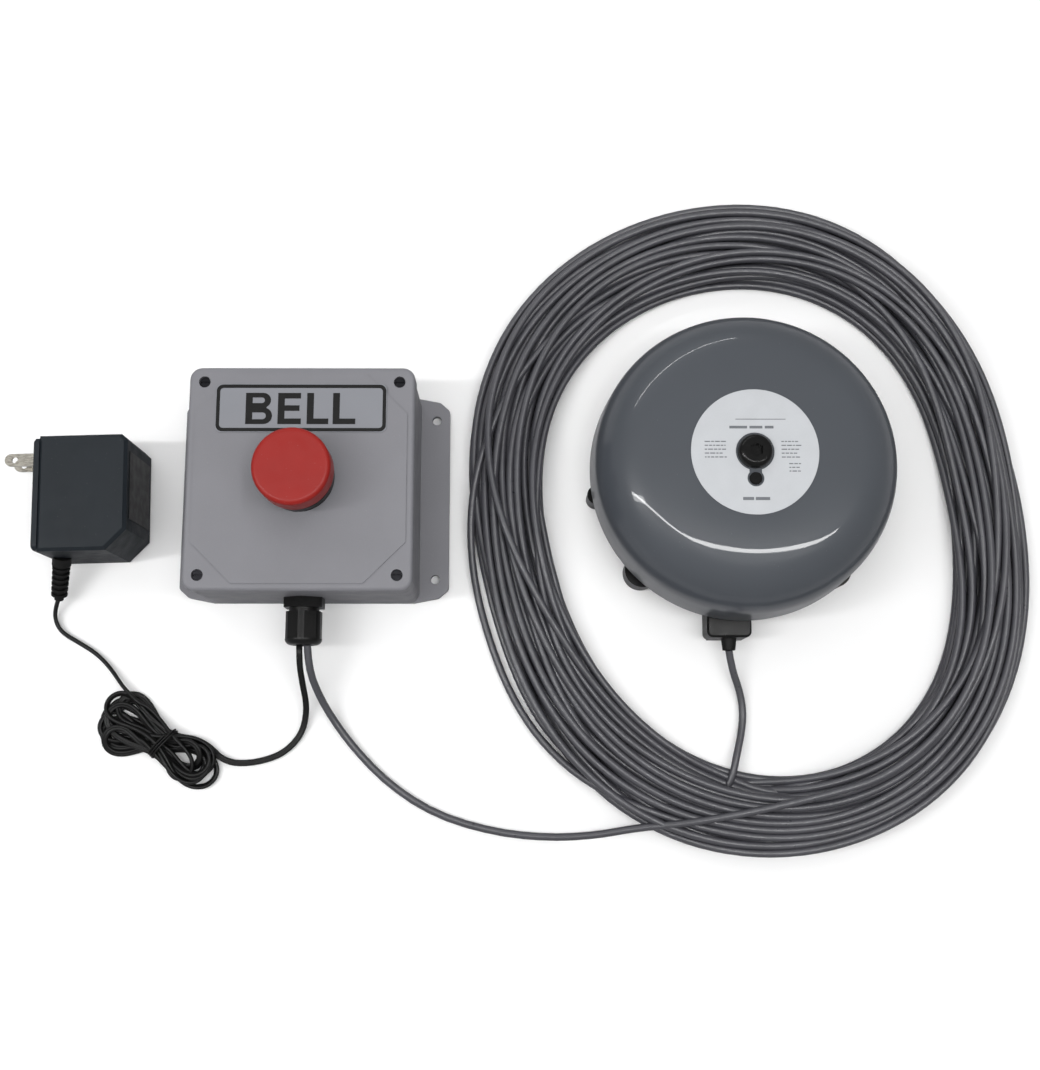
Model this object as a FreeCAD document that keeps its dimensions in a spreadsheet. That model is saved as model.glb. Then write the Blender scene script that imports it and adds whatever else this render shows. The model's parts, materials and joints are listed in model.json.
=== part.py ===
import FreeCAD, Part
import math
import os
import re

import Sketcher
from FreeCAD import Placement, Rotation, Vector

# A wired bell kit, laid out flat and face up: a push-button station, a vibrating bell and a
# plug-in transformer, joined by a grey bell cable and a black supply cord.
# Z is up, z = 0 is the surface the kit lies on, and the origin is the middle of the kit.
# Lengths are millimetres and angles are degrees.

DIMENSIONS = (
    # push-button station
    ("station_x", -70.5),
    ("station_y", -3.5),
    ("box_side", 110),
    ("box_height", 59),
    ("box_wall", 3.5),
    ("box_corner", 6),
    ("cover_depth", 12),
    ("cover_top", 3),
    ("cover_overhang", 0.5),
    ("cover_edge_round", 2),
    ("panel_side", 103),
    ("panel_raise", 0.6),
    ("panel_bevel", 20),
    ("gasket_inset", 1),
    ("gasket_width", 1.6),
    ("gasket_height", 1.5),
    ("post_dia", 10),
    ("lid_screw_pitch", 95),
    ("lid_screw_dia", 3.4),
    ("lid_screw_length", 17.4),
    ("lid_head_dia", 5),
    ("lid_head_height", 2.4),
    ("lid_head_sink", 3.6),
    ("lid_head_clearance", 0.35),
    ("slot_width", 1),
    ("slot_depth", 1.1),
    ("insert_dia", 5.6),
    ("insert_length", 8),
    ("flange_thickness", 4),
    ("flange_reach", 69.5),
    ("flange_knee", 64.5),
    ("flange_tip_half", 47.5),
    ("flange_knee_half", 52),
    ("flange_corner", 3),
    ("flange_pitch_x", 125.2),
    ("flange_pitch_y", 84.6),
    ("flange_hole_dia", 4.8),
    ("legend_y", 34.2),
    ("legend_width", 83),
    ("legend_height", 24),
    ("legend_corner", 3),
    ("legend_thickness", 0.4),
    # button
    ("button_dia", 37),
    ("button_face_z", 85),
    ("button_cap_height", 13.5),
    ("button_edge_round", 2.4),
    ("button_travel", 5),
    ("stem_dia", 14),
    ("stem_end_z", 42),
    ("stem_socket", 8),
    ("collar_dia", 24),
    ("collar_height", 7.5),
    ("collar_clearance", 0.6),
    ("running_fit", 0.08),
    ("bezel_dia", 34),
    ("bezel_height", 6),
    ("bezel_bevel", 1.2),
    ("bezel_seal", 1),
    ("bushing_dia", 30),
    ("bushing_end_z", 38),
    ("bushing_hole_play", 0.2),
    ("spring_seat_z", 50),
    ("spring_radius", 10.2),
    ("spring_wire_dia", 1.4),
    ("spring_pitch", 2.8),
    ("lock_nut_flats", 36),
    ("lock_nut_height", 5),
    ("block_width", 40),
    ("block_depth", 26),
    ("block_wall", 3),
    ("block_floor_z", 16),
    ("block_top_z", 34),
    ("block_roof", 2.5),
    ("block_ring_dia", 32),
    ("block_ring_bore", 24),
    ("plunger_dia", 3.6),
    ("plunger_end_z", 23),
    ("bridge_z", 25),
    ("bridge_length", 24),
    ("bridge_width", 9),
    ("strip_thickness", 1.2),
    ("contact_gap", 5.1),
    ("strip_inner_x", 8),
    ("strip_outer_x", 27),
    ("strip_width", 7),
    ("terminal_x", 23.5),
    ("terminal_head_dia", 5),
    ("terminal_head_height", 1.8),
    ("terminal_screw_dia", 2.8),
    ("terminal_screw_length", 5),
    # cord grip of the station
    ("grip_x", -1.5),
    ("grip_z", 24),
    ("grip_thread_dia", 15.2),
    ("grip_bore_dia", 11.8),
    ("grip_inside", 10),
    ("grip_flats", 19),
    ("grip_flange", 5),
    ("grip_neck", 10),
    ("grip_nut_gap", 2),
    ("grip_nut_dia", 18.4),
    ("grip_nut_length", 16.5),
    ("grip_nut_flats", 17.3),
    ("grip_nut_round", 3),
    ("grip_nut_lip", 3),
    ("grip_seal_dia", 10.2),
    ("grip_locknut_height", 4),
    ("splice_dia", 10),
    ("splice_tip_dia", 6.4),
    ("splice_length", 16),
    ("splice_pitch", 14),
    ("splice_y", -36),
    # bell
    ("bell_x", 147.5),
    ("bell_y", 7),
    ("gong_radius", 76.2),
    ("gong_rim_z", 23),
    ("gong_top_z", 69),
    ("gong_wall", 2),
    ("gong_hole_dia", 6.4),
    ("crown_radius", 120),
    ("crown_angle", 10),
    ("shoulder_radius", 27),
    ("skirt_angle", 86),
    ("disc_label_dia", 61),
    ("disc_label_thickness", 0.3),
    ("keyhole_dia", 18.4),
    ("keyhole_foot_dia", 8),
    ("keyhole_neck", 6),
    ("pin_offset", 13),
    ("pin_dia", 5.8),
    ("pin_hole_dia", 6.2),
    ("pin_rise", 0.6),
    ("gong_head_dia", 16.6),
    ("gong_head_height", 4.2),
    ("gong_head_round", 3),
    ("gong_socket_flats", 6),
    ("gong_socket_depth", 2.4),
    ("gong_shank_dia", 6),
    ("gong_shank_length", 22),
    ("post_flange_dia", 22),
    ("post_flange_height", 3),
    ("gong_post_dia", 14),
    ("pin_arm_z", 55),
    ("pin_arm_height", 4),
    ("pin_arm_width", 9),
    ("base_radius", 64),
    ("base_floor", 5),
    ("base_rim_height", 17),
    ("base_rim_wall", 3),
    ("ear_radius", 9),
    ("ear_pitch", 98),
    ("ear_height", 14),
    ("ear_hole_dia", 5.2),
    ("lug_radius", 5),
    ("lug_reach", 71.8),
    ("lug_angle", 8),
    ("clamp_x", -6.2),
    ("clamp_width", 22.5),
    ("clamp_back_y", -64.6),
    ("clamp_front_y", -84),
    ("clamp_height", 17),
    ("clamp_round", 3),
    ("tongue_height", 3),
    ("tongue_width", 18),
    ("bushing_x", -5.5),
    ("cable_z", 12),
    ("cable_bore_dia", 4.4),
    ("sleeve_dia", 8),
    ("sleeve_tip_dia", 6.4),
    ("sleeve_length", 6),
    ("clamp_screw_pitch", 14.6),
    ("clamp_screw_y", -72),
    ("small_head_dia", 5.2),
    ("small_head_height", 1.8),
    ("small_screw_dia", 2.8),
    ("small_screw_length", 8),
    # striker mechanism
    ("frame_back_x", 12),
    ("frame_wall_end_x", 38),
    ("frame_low_y", 4),
    ("frame_high_y", 38),
    ("frame_top_z", 42),
    ("frame_sheet", 3),
    ("frame_ear_x", 30),
    ("frame_ear_tip_x", 46),
    ("frame_ear_width", 16),
    ("frame_ear_z", 12),
    ("coil_y", 24),
    ("coil_z", 27),
    ("core_dia", 9),
    ("core_end_x", 40),
    ("bobbin_start_x", 15.5),
    ("bobbin_length", 22),
    ("bobbin_flange_dia", 22),
    ("bobbin_flange", 2),
    ("bobbin_tube_dia", 11),
    ("winding_dia", 20),
    ("armature_x", 41.5),
    ("armature_thickness", 3),
    ("armature_high_y", 34),
    ("armature_high_z", 37),
    ("pivot_x", 43),
    ("pivot_y", 14.5),
    ("pivot_pin_dia", 3),
    ("barrel_dia", 8),
    ("barrel_low_z", 21),
    ("pivot_fit", 0.06),
    ("hinge_spring_radius", 2.6),
    ("hinge_spring_wire_dia", 0.7),
    ("hinge_spring_pitch", 1),
    ("rod_dia", 2.8),
    ("rod_gap", 2.2),
    ("rod_length", 46.4),
    ("rod_turn", -71.85),
    ("ball_x", 58.9),
    ("ball_y", -34),
    ("ball_radius", 4),
    ("block_x", -32),
    ("block_y", -22),
    ("strip_block_length", 26),
    ("strip_block_width", 12),
    ("strip_block_height", 11),
    ("strip_block_pitch", 12),
    # plug-in transformer
    ("adapter_x", -181),
    ("adapter_y", -8),
    ("adapter_turn", 1.6),
    ("adapter_depth", 46.5),
    ("adapter_width", 58),
    ("adapter_height", 45),
    ("adapter_wall", 2.2),
    ("adapter_bevel", 10),
    ("adapter_small_bevel", 3),
    ("adapter_edge", 1.6),
    ("adapter_plate", 3),
    ("adapter_plate_inset", 0.8),
    ("adapter_pocket", 30),
    ("adapter_deep_pocket", 39),
    ("adapter_deep_low_y", -17),
    ("blade_y", 20.5),
    ("blade_width", 6.35),
    ("blade_thickness", 1.5),
    ("blade_pitch", 12.7),
    ("blade_tip_x", -42.8),
    ("blade_root_x", -15),
    ("blade_hole_dia", 3.2),
    ("blade_hole_inset", 5),
    ("core_back_x", -11),
    ("core_stack", 18),
    ("core_width", 44),
    ("core_low_z", 6),
    ("core_height", 33),
    ("window_width", 9),
    ("leg_width", 12),
    ("window_height", 19),
    ("former_wall", 1.5),
    ("former_flange", 1.4),
    ("former_reach", 6),
    ("boot_x", -15.7),
    ("boot_z", 20),
    ("boot_length", 23.4),
    ("boot_collar_dia", 9.4),
    ("boot_collar", 3.4),
    ("boot_dia", 6.6),
    ("boot_tip_dia", 4.6),
    ("boot_rib_dia", 8.8),
    ("boot_rib", 1.2),
    ("boot_rib_pitch", 3),
    ("rating_low_y", -13),
    ("rating_width", 34),
    ("rating_low_z", 5),
    ("rating_height", 35),
    ("rating_thickness", 0.3),
    # cords
    ("cable_dia", 3.8),
    ("cord_dia", 3.2),
    ("coil_height", 16),
    ("coil_edge_round", 5),
    ("hank_x", -146),
    ("hank_y", -127.5),
    ("hank_turn", -27),
    ("hank_height", 10),
    ("tie_x", -144.8),
    ("tie_y", -129.5),
    ("tie_turn", -44),
    ("tie_width", 4),
    ("tie_span", 17.4),
    ("tie_height", 11),
    ("tie_wall", 1.2),
)

BOOT_AXIS = Vector(-0.224, -0.815, -0.535)
STEP_FOLDER = "parts"
SIN_60 = math.sin(math.radians(60))

# Routes of the cords' free stretches, each a list of corners.
CABLE_STATION_ROUTE = (
    (-70.0, -81.5, 24.0),
    (-69.6, -92.0, 21.5),
    (-66.5, -103.5, 12.5),
    (-60.0, -116.5, 4.0),
    (-48.0, -132.5, 2.2),
    (-30.0, -150.5, 2.0),
    (-6.0, -165.5, 2.0),
    (24.0, -174.0, 2.1),
    (56.0, -177.0, 3.6),
    (88.0, -174.5, 7.5),
    (112.0, -169.5, 9.0),
)
CABLE_BELL_ROUTE = (
    (142.0, -83.0, 12.0),
    (143.6, -92.0, 9.0),
    (148.0, -102.0, 4.0),
    (150.2, -113.5, 2.1),
    (148.0, -126.0, 2.2),
    (144.4, -138.5, 4.0),
    (142.6, -150.0, 6.5),
)
CORD_STATION_ROUTE = (
    (-74.0, -81.5, 24.0),
    (-74.2, -91.0, 21.5),
    (-73.4, -101.0, 13.0),
    (-72.2, -112.0, 5.0),
    (-74.6, -124.5, 1.9),
    (-83.5, -134.5, 1.7),
    (-96.5, -139.0, 1.7),
    (-110.0, -139.6, 2.4),
    (-121.5, -137.6, 4.5),
)
CORD_ADAPTER_ROUTE = (
    (-200.4, -55.6, 8.0),
    (-203.6, -61.4, 4.2),
    (-203.4, -68.0, 2.2),
    (-199.8, -73.5, 1.7),
    (-190.8, -78.5, 1.7),
    (-181.6, -84.0, 1.7),
    (-173.6, -91.8, 2.2),
    (-166.6, -101.2, 4.0),
    (-160.4, -109.6, 6.5),
)

# Outline of the grey coil, seen from above, outside and inside.
COIL_OUTSIDE = (
    (10, -10),
    (24, 80),
    (75, 138),
    (145, 160),
    (215, 143),
    (274, 86),
    (297, -10),
    (299, -62),
    (284, -114),
    (236, -160),
    (158, -188),
    (82, -160),
    (26, -80),
)
COIL_INSIDE = (
    (48, 0),
    (63, 62),
    (100, 99),
    (150, 112),
    (210, 98),
    (246, 52),
    (260, -20),
    (258, -75),
    (230, -121),
    (160, -147),
    (100, -119),
    (59, -58),
)
# Outline of the hank along and across its own length.
HANK_OUTLINE = (
    (-36, -4),
    (-34, 8),
    (-24, 11.5),
    (-10, 8.5),
    (3, 6.5),
    (13, 8),
    (24, 7.5),
    (33, 4.5),
    (36, -3),
    (31, -12.5),
    (20, -14),
    (10, -11.5),
    (0, -8.5),
    (-10, -10.5),
    (-22, -13),
    (-32, -12),
)

doc = FreeCAD.newDocument("BellKit")
sheet = doc.addObject("Spreadsheet::Sheet", "sizes")
nodes = []
WORD = re.compile(r"[a-z][a-z_0-9]*")
ALIASES = {alias for alias, _ in DIMENSIONS}


def fill_sheet():
    for row, (alias, number) in enumerate(DIMENSIONS, start=1):
        sheet.set(f"A{row}", alias)
        sheet.set(f"B{row}", str(number))
        sheet.setAlias(f"B{row}", alias)
    doc.recompute()


def bound(expression):
    """The expression's text with each alias given its sheet's name."""
    return WORD.sub(lambda m: "sizes." + m.group() if m.group() in ALIASES else m.group(), str(expression))


def size(alias):
    return float(sheet.get(alias))


def bind(item, **expressions):
    for name, expression in expressions.items():
        item.setExpression(name, bound(expression))


def put(item, at=(0, 0, 0), unit=None):
    """Bind an item's place to the sheet, from its unit's centre when it has one."""
    for axis, expression in zip("xyz", at):
        text = f"({expression})"
        if unit and axis != "z":
            text = f"{unit}_{axis} + {text}"
        item.setExpression(f"Placement.Base.{axis}", bound(text))


def publish(item, label, unit=None):
    """Give a finished sub-part its name and its unit's place."""
    item.Label = label
    if unit == "adapter":
        item.Placement = Placement(Vector(), Rotation(Vector(0, 0, 1), size("adapter_turn")))
    if unit:
        put(item, unit=unit)
    nodes.append(item)


# --- outlines ---------------------------------------------------------------------------


def polygon(points, arcs=None):
    """A closed outline. arcs maps a side to its radius and to the side its centre is on."""
    return {"points": points, "arcs": arcs or {}}


def circle(x, y, radius):
    return {"centre": (x, y), "radius": radius}


def rectangle(x, y, width, height):
    left, right = f"{x} - ({width}) / 2", f"{x} + ({width}) / 2"
    low, high = f"{y} - ({height}) / 2", f"{y} + ({height}) / 2"
    return polygon([(left, low), (right, low), (right, high), (left, high)])


def rounded(x, y, width, height, corner):
    left, right = f"{x} - ({width}) / 2", f"{x} + ({width}) / 2"
    low, high = f"{y} - ({height}) / 2", f"{y} + ({height}) / 2"
    points = [
        (f"{left} + ({corner})", low),
        (f"{right} - ({corner})", low),
        (right, f"{low} + ({corner})"),
        (right, f"{high} - ({corner})"),
        (f"{right} - ({corner})", high),
        (f"{left} + ({corner})", high),
        (left, f"{high} - ({corner})"),
        (left, f"{low} + ({corner})"),
    ]
    return polygon(points, {side: (corner, 1) for side in (1, 3, 5, 7)})


def hexagon(x, y, flats):
    """A hexagon with a corner at the top, flats being its width across flats."""
    corner = f"({flats}) / 2 / {SIN_60}"
    turns = [90 + 60 * i for i in range(6)]
    return polygon([(f"{x} + {corner} * cos({t})", f"{y} + {corner} * sin({t})") for t in turns])


def four(pitch_x, pitch_y, radius):
    """Four circles at the corners of a rectangle."""
    signs = ((-1, -1), (1, -1), (1, 1), (-1, 1))
    return [circle(f"{sx} * ({pitch_x}) / 2", f"{sy} * ({pitch_y}) / 2", radius) for sx, sy in signs]


def arc_between(start, end, radius, side):
    """The circle's arc from start to end whose centre is left (1) or right (-1) of the chord."""
    chord = end - start
    middle = (start + end) * 0.5
    normal = Vector(-chord.y, chord.x, 0).normalize()
    rise = math.sqrt(max(radius**2 - (chord.Length / 2) ** 2, 0))
    centre = middle + normal * rise * side
    first, last = (start, end) if side > 0 else (end, start)
    angles = [math.atan2(p.y - centre.y, p.x - centre.x) for p in (first, last)]
    return Part.ArcOfCircle(Part.Circle(centre, Vector(0, 0, 1), radius), *angles)


class Body:
    """A PartDesign body that grows by one bound feature at a time."""

    def __init__(self, name):
        self.body = doc.addObject("PartDesign::Body", name)

    def plane(self, role):
        return next(f for f in self.body.Origin.OriginFeatures if f.Role == role)

    def fix(self, sketch, index, end, x, y):
        """Bind one point of the sketch to a pair of expressions."""
        for kind, text in (("DistanceX", x), ("DistanceY", y)):
            start = sketch.evalExpression(bound(text))
            number = sketch.addConstraint(Sketcher.Constraint(kind, -1, 1, index, end, float(start)))
            sketch.setExpression(f"Constraints[{number}]", bound(text))

    def draw_circle(self, sketch, loop):
        radius = float(sketch.evalExpression(bound(loop["radius"])))
        x, y = loop["centre"]
        centre = Vector(*(float(sketch.evalExpression(bound(v))) for v in (x, y)), 0)
        index = sketch.addGeometry(Part.Circle(centre, Vector(0, 0, 1), radius), False)
        self.fix(sketch, index, 3, x, y)
        number = sketch.addConstraint(Sketcher.Constraint("Radius", index, radius))
        sketch.setExpression(f"Constraints[{number}]", bound(loop["radius"]))

    def draw_polygon(self, sketch, loop):
        corners = [
            Vector(*(float(sketch.evalExpression(bound(v))) for v in point), 0) for point in loop["points"]
        ]
        count = len(corners)
        ends = []
        for side in range(count):
            start, end = corners[side], corners[(side + 1) % count]
            if side in loop["arcs"]:
                text, hand = loop["arcs"][side]
                radius = float(sketch.evalExpression(bound(text)))
                index = sketch.addGeometry(arc_between(start, end, radius, hand), False)
                number = sketch.addConstraint(Sketcher.Constraint("Radius", index, radius))
                sketch.setExpression(f"Constraints[{number}]", bound(text))
                ends.append((index, 1, 2) if hand > 0 else (index, 2, 1))
            else:
                index = sketch.addGeometry(Part.LineSegment(start, end), False)
                ends.append((index, 1, 2))
        for side in range(count):
            index, first, last = ends[side]
            follower, follower_first, _ = ends[(side + 1) % count]
            sketch.addConstraint(
                Sketcher.Constraint("Coincident", index, last, follower, follower_first)
            )
            self.fix(sketch, index, first, *loop["points"][side])

    def sketch(self, loops, level=0, role="XY_Plane"):
        sketch = self.body.newObject("Sketcher::SketchObject", self.body.Name + "Sketch")
        sketch.AttachmentSupport = [(self.plane(role), "")]
        sketch.MapMode = "FlatFace"
        bind(sketch, **{"AttachmentOffset.Base.z": level})
        for loop in loops if isinstance(loops, list) else [loops]:
            if "centre" in loop:
                self.draw_circle(sketch, loop)
            else:
                self.draw_polygon(sketch, loop)
        return sketch

    def feature(self, kind, loops, level, length, role, reverse):
        sketch = self.sketch(loops, level, role)
        item = self.body.newObject("PartDesign::" + kind, self.body.Name + kind)
        item.Profile = sketch
        item.Reversed = reverse
        bind(item, Length=length)
        doc.recompute()
        return self

    def add(self, loops, level, length, role="XY_Plane", reverse=False):
        return self.feature("Pad", loops, level, length, role, reverse)

    def cut(self, loops, level, length, role="XY_Plane", reverse=False):
        """Cut from the level down, or towards +Y for the XZ plane."""
        before = self.body.Shape.Volume
        self.feature("Pocket", loops, level, length, role, reverse)
        assert self.body.Shape.Volume < before, self.body.Name + ": a pocket cuts nothing"
        return self

    def revolve(self, loop):
        """Turn an outline drawn in radius and height about the body's Z axis."""
        sketch = self.sketch(loop, role="XZ_Plane")
        item = self.body.newObject("PartDesign::Revolution", self.body.Name + "Revolution")
        item.Profile = sketch
        item.ReferenceAxis = (sketch, ["V_Axis"])
        item.Angle = 360
        doc.recompute()
        return self

    def dress(self, kind, chosen, **expressions):
        """Fillet or chamfer the edges that a test picks."""
        base = self.body.Tip
        names = [f"Edge{i}" for i, e in enumerate(base.Shape.Edges, start=1) if chosen(e)]
        assert names, self.body.Name + ": no edge to " + kind
        item = self.body.newObject("PartDesign::" + kind, self.body.Name + kind)
        item.Base = (base, names)
        bind(item, **expressions)
        doc.recompute()
        return self

    def round(self, chosen, radius):
        return self.dress("Fillet", chosen, Radius=radius)

    def bevel(self, chosen, amount):
        return self.dress("Chamfer", chosen, Size=amount)

    def publish(self, label, unit=None):
        publish(self.body, label, unit)


def upright(reach=0):
    """Picks straight vertical edges at least reach from the middle, along X."""

    def chosen(edge):
        box = edge.BoundBox
        return box.XLength + box.YLength < 0.001 and abs(box.Center.x) >= reach

    return chosen


def level_with(axis, value):
    """Picks edges that lie in one plane square to an axis."""

    def chosen(edge):
        box = edge.BoundBox
        low, high = getattr(box, axis + "Min"), getattr(box, axis + "Max")
        return abs(low - value) < 0.01 and abs(high - value) < 0.01

    return chosen


# --- primitives -------------------------------------------------------------------------

TURNS = {
    "+Z": Rotation(),
    "+X": Rotation(Vector(0, 1, 0), 90),
    "+Y": Rotation(Vector(1, 0, 0), -90),
    "-Y": Rotation(Vector(1, 0, 0), 90),
}


def primitive(kind, name, at, axis="+Z", **expressions):
    item = doc.addObject("Part::" + kind, name)
    item.Placement = Placement(Vector(), TURNS[axis])
    put(item, at)
    bind(item, **expressions)
    return item


def cylinder(name, at, dia, length, axis="+Z"):
    return primitive("Cylinder", name, at, axis, Radius=f"({dia}) / 2", Height=length)


def cone(name, at, dia, tip_dia, length, axis="+Z"):
    radii = {"Radius1": f"({dia}) / 2", "Radius2": f"({tip_dia}) / 2"}
    return primitive("Cone", name, at, axis, Height=length, **radii)


def box(name, low, high):
    """A box from one corner to the opposite one."""
    sides = [f"({b}) - ({a})" for a, b in zip(low, high)]
    return primitive("Box", name, low, Length=sides[0], Width=sides[1], Height=sides[2])


def prism(name, at, flats, length, axis="+Z"):
    item = primitive("Prism", name, at, axis, Circumradius=f"({flats}) / 2 / {SIN_60}", Height=length)
    item.Polygon = 6
    return item


def combine(kind, name, items):
    item = doc.addObject("Part::" + kind, name)
    if kind == "Compound":
        item.Links = items
    else:
        item.Shapes = items
    return item


def fuse(name, *items):
    return combine("MultiFuse", name, list(items))


def group(name, *items):
    return combine("Compound", name, list(items))


def difference(name, base, tool):
    item = doc.addObject("Part::Cut", name)
    item.Base = base
    item.Tool = tool
    return item


def pipe(name, at, dia, bore, length, axis="+Z"):
    outer = cylinder(name + "Outer", at, dia, length, axis)
    inner = cylinder(name + "Bore", at, bore, length, axis)
    return difference(name, outer, inner)


def coil_spring(name, at, radius, wire_dia, pitch, height):
    """A round wire swept along a helix."""
    helix = primitive("Helix", name + "Helix", at, Radius=radius, Pitch=pitch, Height=height)
    wire = doc.addObject("Part::Circle", name + "Wire")
    wire.Placement = Placement(Vector(), TURNS["-Y"])
    put(wire, (f"{at[0]} + {radius}", at[1], at[2]))
    bind(wire, Radius=f"({wire_dia}) / 2")
    spring = doc.addObject("Part::Sweep", name)
    spring.Sections = [wire]
    spring.Spine = (helix, ["Edge1"])
    spring.Solid = True
    spring.Frenet = True
    return spring


def corners_of(pitch):
    half = f"{pitch} / 2"
    return [(f"{sx} * {half}", f"{sy} * {half}") for sx in (-1, 1) for sy in (-1, 1)]


def screws(name, places, seat, head, shank):
    """Slotted pan-head screws. head and shank are each a diameter and a length."""
    heads = []
    slots = []
    for i, (x, y) in enumerate(places):
        top = cylinder(f"{name}Head{i}", (x, y, seat), *head)
        rod = cylinder(f"{name}Shank{i}", (x, y, f"({seat}) - ({shank[1]})"), *shank)
        heads.append(fuse(f"{name}Screw{i}", top, rod))
        low = (f"{x} - {head[0]}", f"{y} - slot_width / 2", f"({seat}) + ({head[1]}) - slot_depth")
        high = (f"{x} + {head[0]}", f"{y} + slot_width / 2", f"({seat}) + ({head[1]})")
        slots.append(box(f"{name}Slot{i}", low, high))
    return difference(name, group(name + "Blanks", *heads), group(name + "Slots", *slots))


# --- push-button station ----------------------------------------------------------------

TRAY_TOP = "box_height - cover_depth"
COVER_FACE = "box_height - panel_raise"


def enclosure_base():
    outside = "box_side - 2 * cover_overhang"
    inside = f"{outside} - 2 * box_wall"
    knees = [
        ("box_side / 2 - box_wall", "box_side / 2 - cover_overhang"),
        ("flange_knee", "flange_knee_half"),
        ("flange_reach", "flange_tip_half"),
    ]
    right_low = [(x, f"-({y})") for x, y in knees]
    right_high = list(reversed(knees))
    left_high = [(f"-({x})", y) for x, y in knees]
    left_low = [(f"-({x})", f"-({y})") for x, y in reversed(knees)]
    tray = Body("EnclosureBase")
    tray.add(polygon(right_low + right_high + left_high + left_low), 0, "flange_thickness")
    tray.round(upright(reach=60), "flange_corner")
    tray.add(rounded(0, 0, outside, outside, "box_corner - cover_overhang"), 0, TRAY_TOP)
    tray.cut(rounded(0, 0, inside, inside, "box_corner - box_wall"), TRAY_TOP, f"{TRAY_TOP} - box_wall")
    tray.add(four("lid_screw_pitch", "lid_screw_pitch", "post_dia / 2"), "box_wall", f"{TRAY_TOP} - box_wall")
    tray.cut(four("lid_screw_pitch", "lid_screw_pitch", "insert_dia / 2"), TRAY_TOP, "insert_length")
    pilot = four("lid_screw_pitch", "lid_screw_pitch", "lid_screw_dia / 2 + lid_head_clearance / 2")
    tray.cut(pilot, f"{TRAY_TOP} - insert_length", "insert_length")
    bolts = four("flange_pitch_x", "flange_pitch_y", "flange_hole_dia / 2")
    tray.cut(bolts, "flange_thickness", "flange_thickness")
    grip_hole = circle("grip_x", "grip_z", "grip_thread_dia / 2")
    tray.cut(grip_hole, "box_side / 2", "box_wall + cover_overhang", role="XZ_Plane")
    tray.publish("enclosure_base", "station")


def gasket_ring():
    outside = "box_side - 2 * gasket_inset"
    corner = "box_corner - gasket_inset"
    inner = f"{outside} - 2 * gasket_width"
    return [
        rounded(0, 0, outside, outside, corner),
        rounded(0, 0, inner, inner, f"{corner} - gasket_width"),
    ]


def enclosure_cover():
    inside = "box_side - 2 * box_wall"
    half = "panel_side / 2"
    short = f"({half} - panel_bevel)"
    panel = [
        (short, f"-{half}"),
        (half, f"-{short}"),
        (half, short),
        (short, half),
        (f"-{short}", half),
        (f"-{half}", short),
        (f"-{half}", f"-{short}"),
        (f"-{short}", f"-{half}"),
    ]
    roof = "box_height - cover_top"
    cover = Body("EnclosureCover")
    cover.add(rounded(0, 0, "box_side", "box_side", "box_corner"), TRAY_TOP, "cover_depth - panel_raise")
    cover.round(level_with("Z", size("box_height") - size("panel_raise")), "cover_edge_round")
    cover.add(polygon(panel), COVER_FACE, "panel_raise")
    cover.cut(rounded(0, 0, inside, inside, "box_corner - box_wall"), roof, "cover_depth - cover_top")
    posts = four("lid_screw_pitch", "lid_screw_pitch", "post_dia / 2")
    cover.add(posts, TRAY_TOP, "cover_depth - cover_top")
    shanks = four("lid_screw_pitch", "lid_screw_pitch", "(lid_screw_dia + lid_head_clearance) / 2")
    cover.cut(shanks, COVER_FACE, "cover_depth")
    sinks = four("lid_screw_pitch", "lid_screw_pitch", "(lid_head_dia + 2 * lid_head_clearance) / 2")
    cover.cut(sinks, COVER_FACE, "lid_head_sink")
    cover.cut(gasket_ring(), f"{TRAY_TOP} + gasket_height", "gasket_height")
    cover.cut(circle(0, 0, "bushing_dia / 2 + bushing_hole_play"), "box_height", "cover_top")
    cover.publish("enclosure_cover", "station")


def cover_gasket():
    ring = Body("CoverGasket")
    ring.add(gasket_ring(), TRAY_TOP, "gasket_height")
    ring.publish("cover_gasket", "station")


def cover_fasteners():
    seat = f"{COVER_FACE} - lid_head_sink"
    places = corners_of("lid_screw_pitch")
    head = ("lid_head_dia", "lid_head_height")
    shank = ("lid_screw_dia", "lid_screw_length")
    publish(screws("CoverScrews", places, seat, head, shank), "cover_screws", "station")
    foot = f"{TRAY_TOP} - insert_length"
    bore = "lid_screw_dia + running_fit"
    inserts = [
        pipe(f"Insert{i}", (x, y, foot), "insert_dia", bore, "insert_length")
        for i, (x, y) in enumerate(places)
    ]
    publish(group("CoverInserts", *inserts), "cover_screw_inserts", "station")


def legend_label():
    plate = Body("LegendLabel")
    shape = rounded(0, "legend_y", "legend_width", "legend_height", "legend_corner")
    plate.add(shape, "box_height", "legend_thickness")
    plate.publish("legend_label", "station")


def button_cap():
    cap = Body("ButtonCap")
    foot = "button_face_z - button_cap_height"
    cap.add(circle(0, 0, "button_dia / 2"), foot, "button_cap_height")
    cap.round(level_with("Z", size("button_face_z")), "button_edge_round")
    cap.bevel(level_with("Z", size("button_face_z") - size("button_cap_height")), "bezel_bevel / 2")
    cap.cut(circle(0, 0, "stem_dia / 2"), f"{foot} + stem_socket", "stem_socket")
    cap.publish("button_cap", "station")


def button_stem():
    foot = "button_face_z - button_cap_height"
    shaft = cylinder("StemShaft", (0, 0, "stem_end_z"), "stem_dia", f"{foot} + stem_socket - stem_end_z")
    collar = cylinder("StemCollar", (0, 0, f"{foot} - collar_height"), "collar_dia", "collar_height")
    publish(fuse("ButtonStem", shaft, collar), "button_stem", "station")


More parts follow.
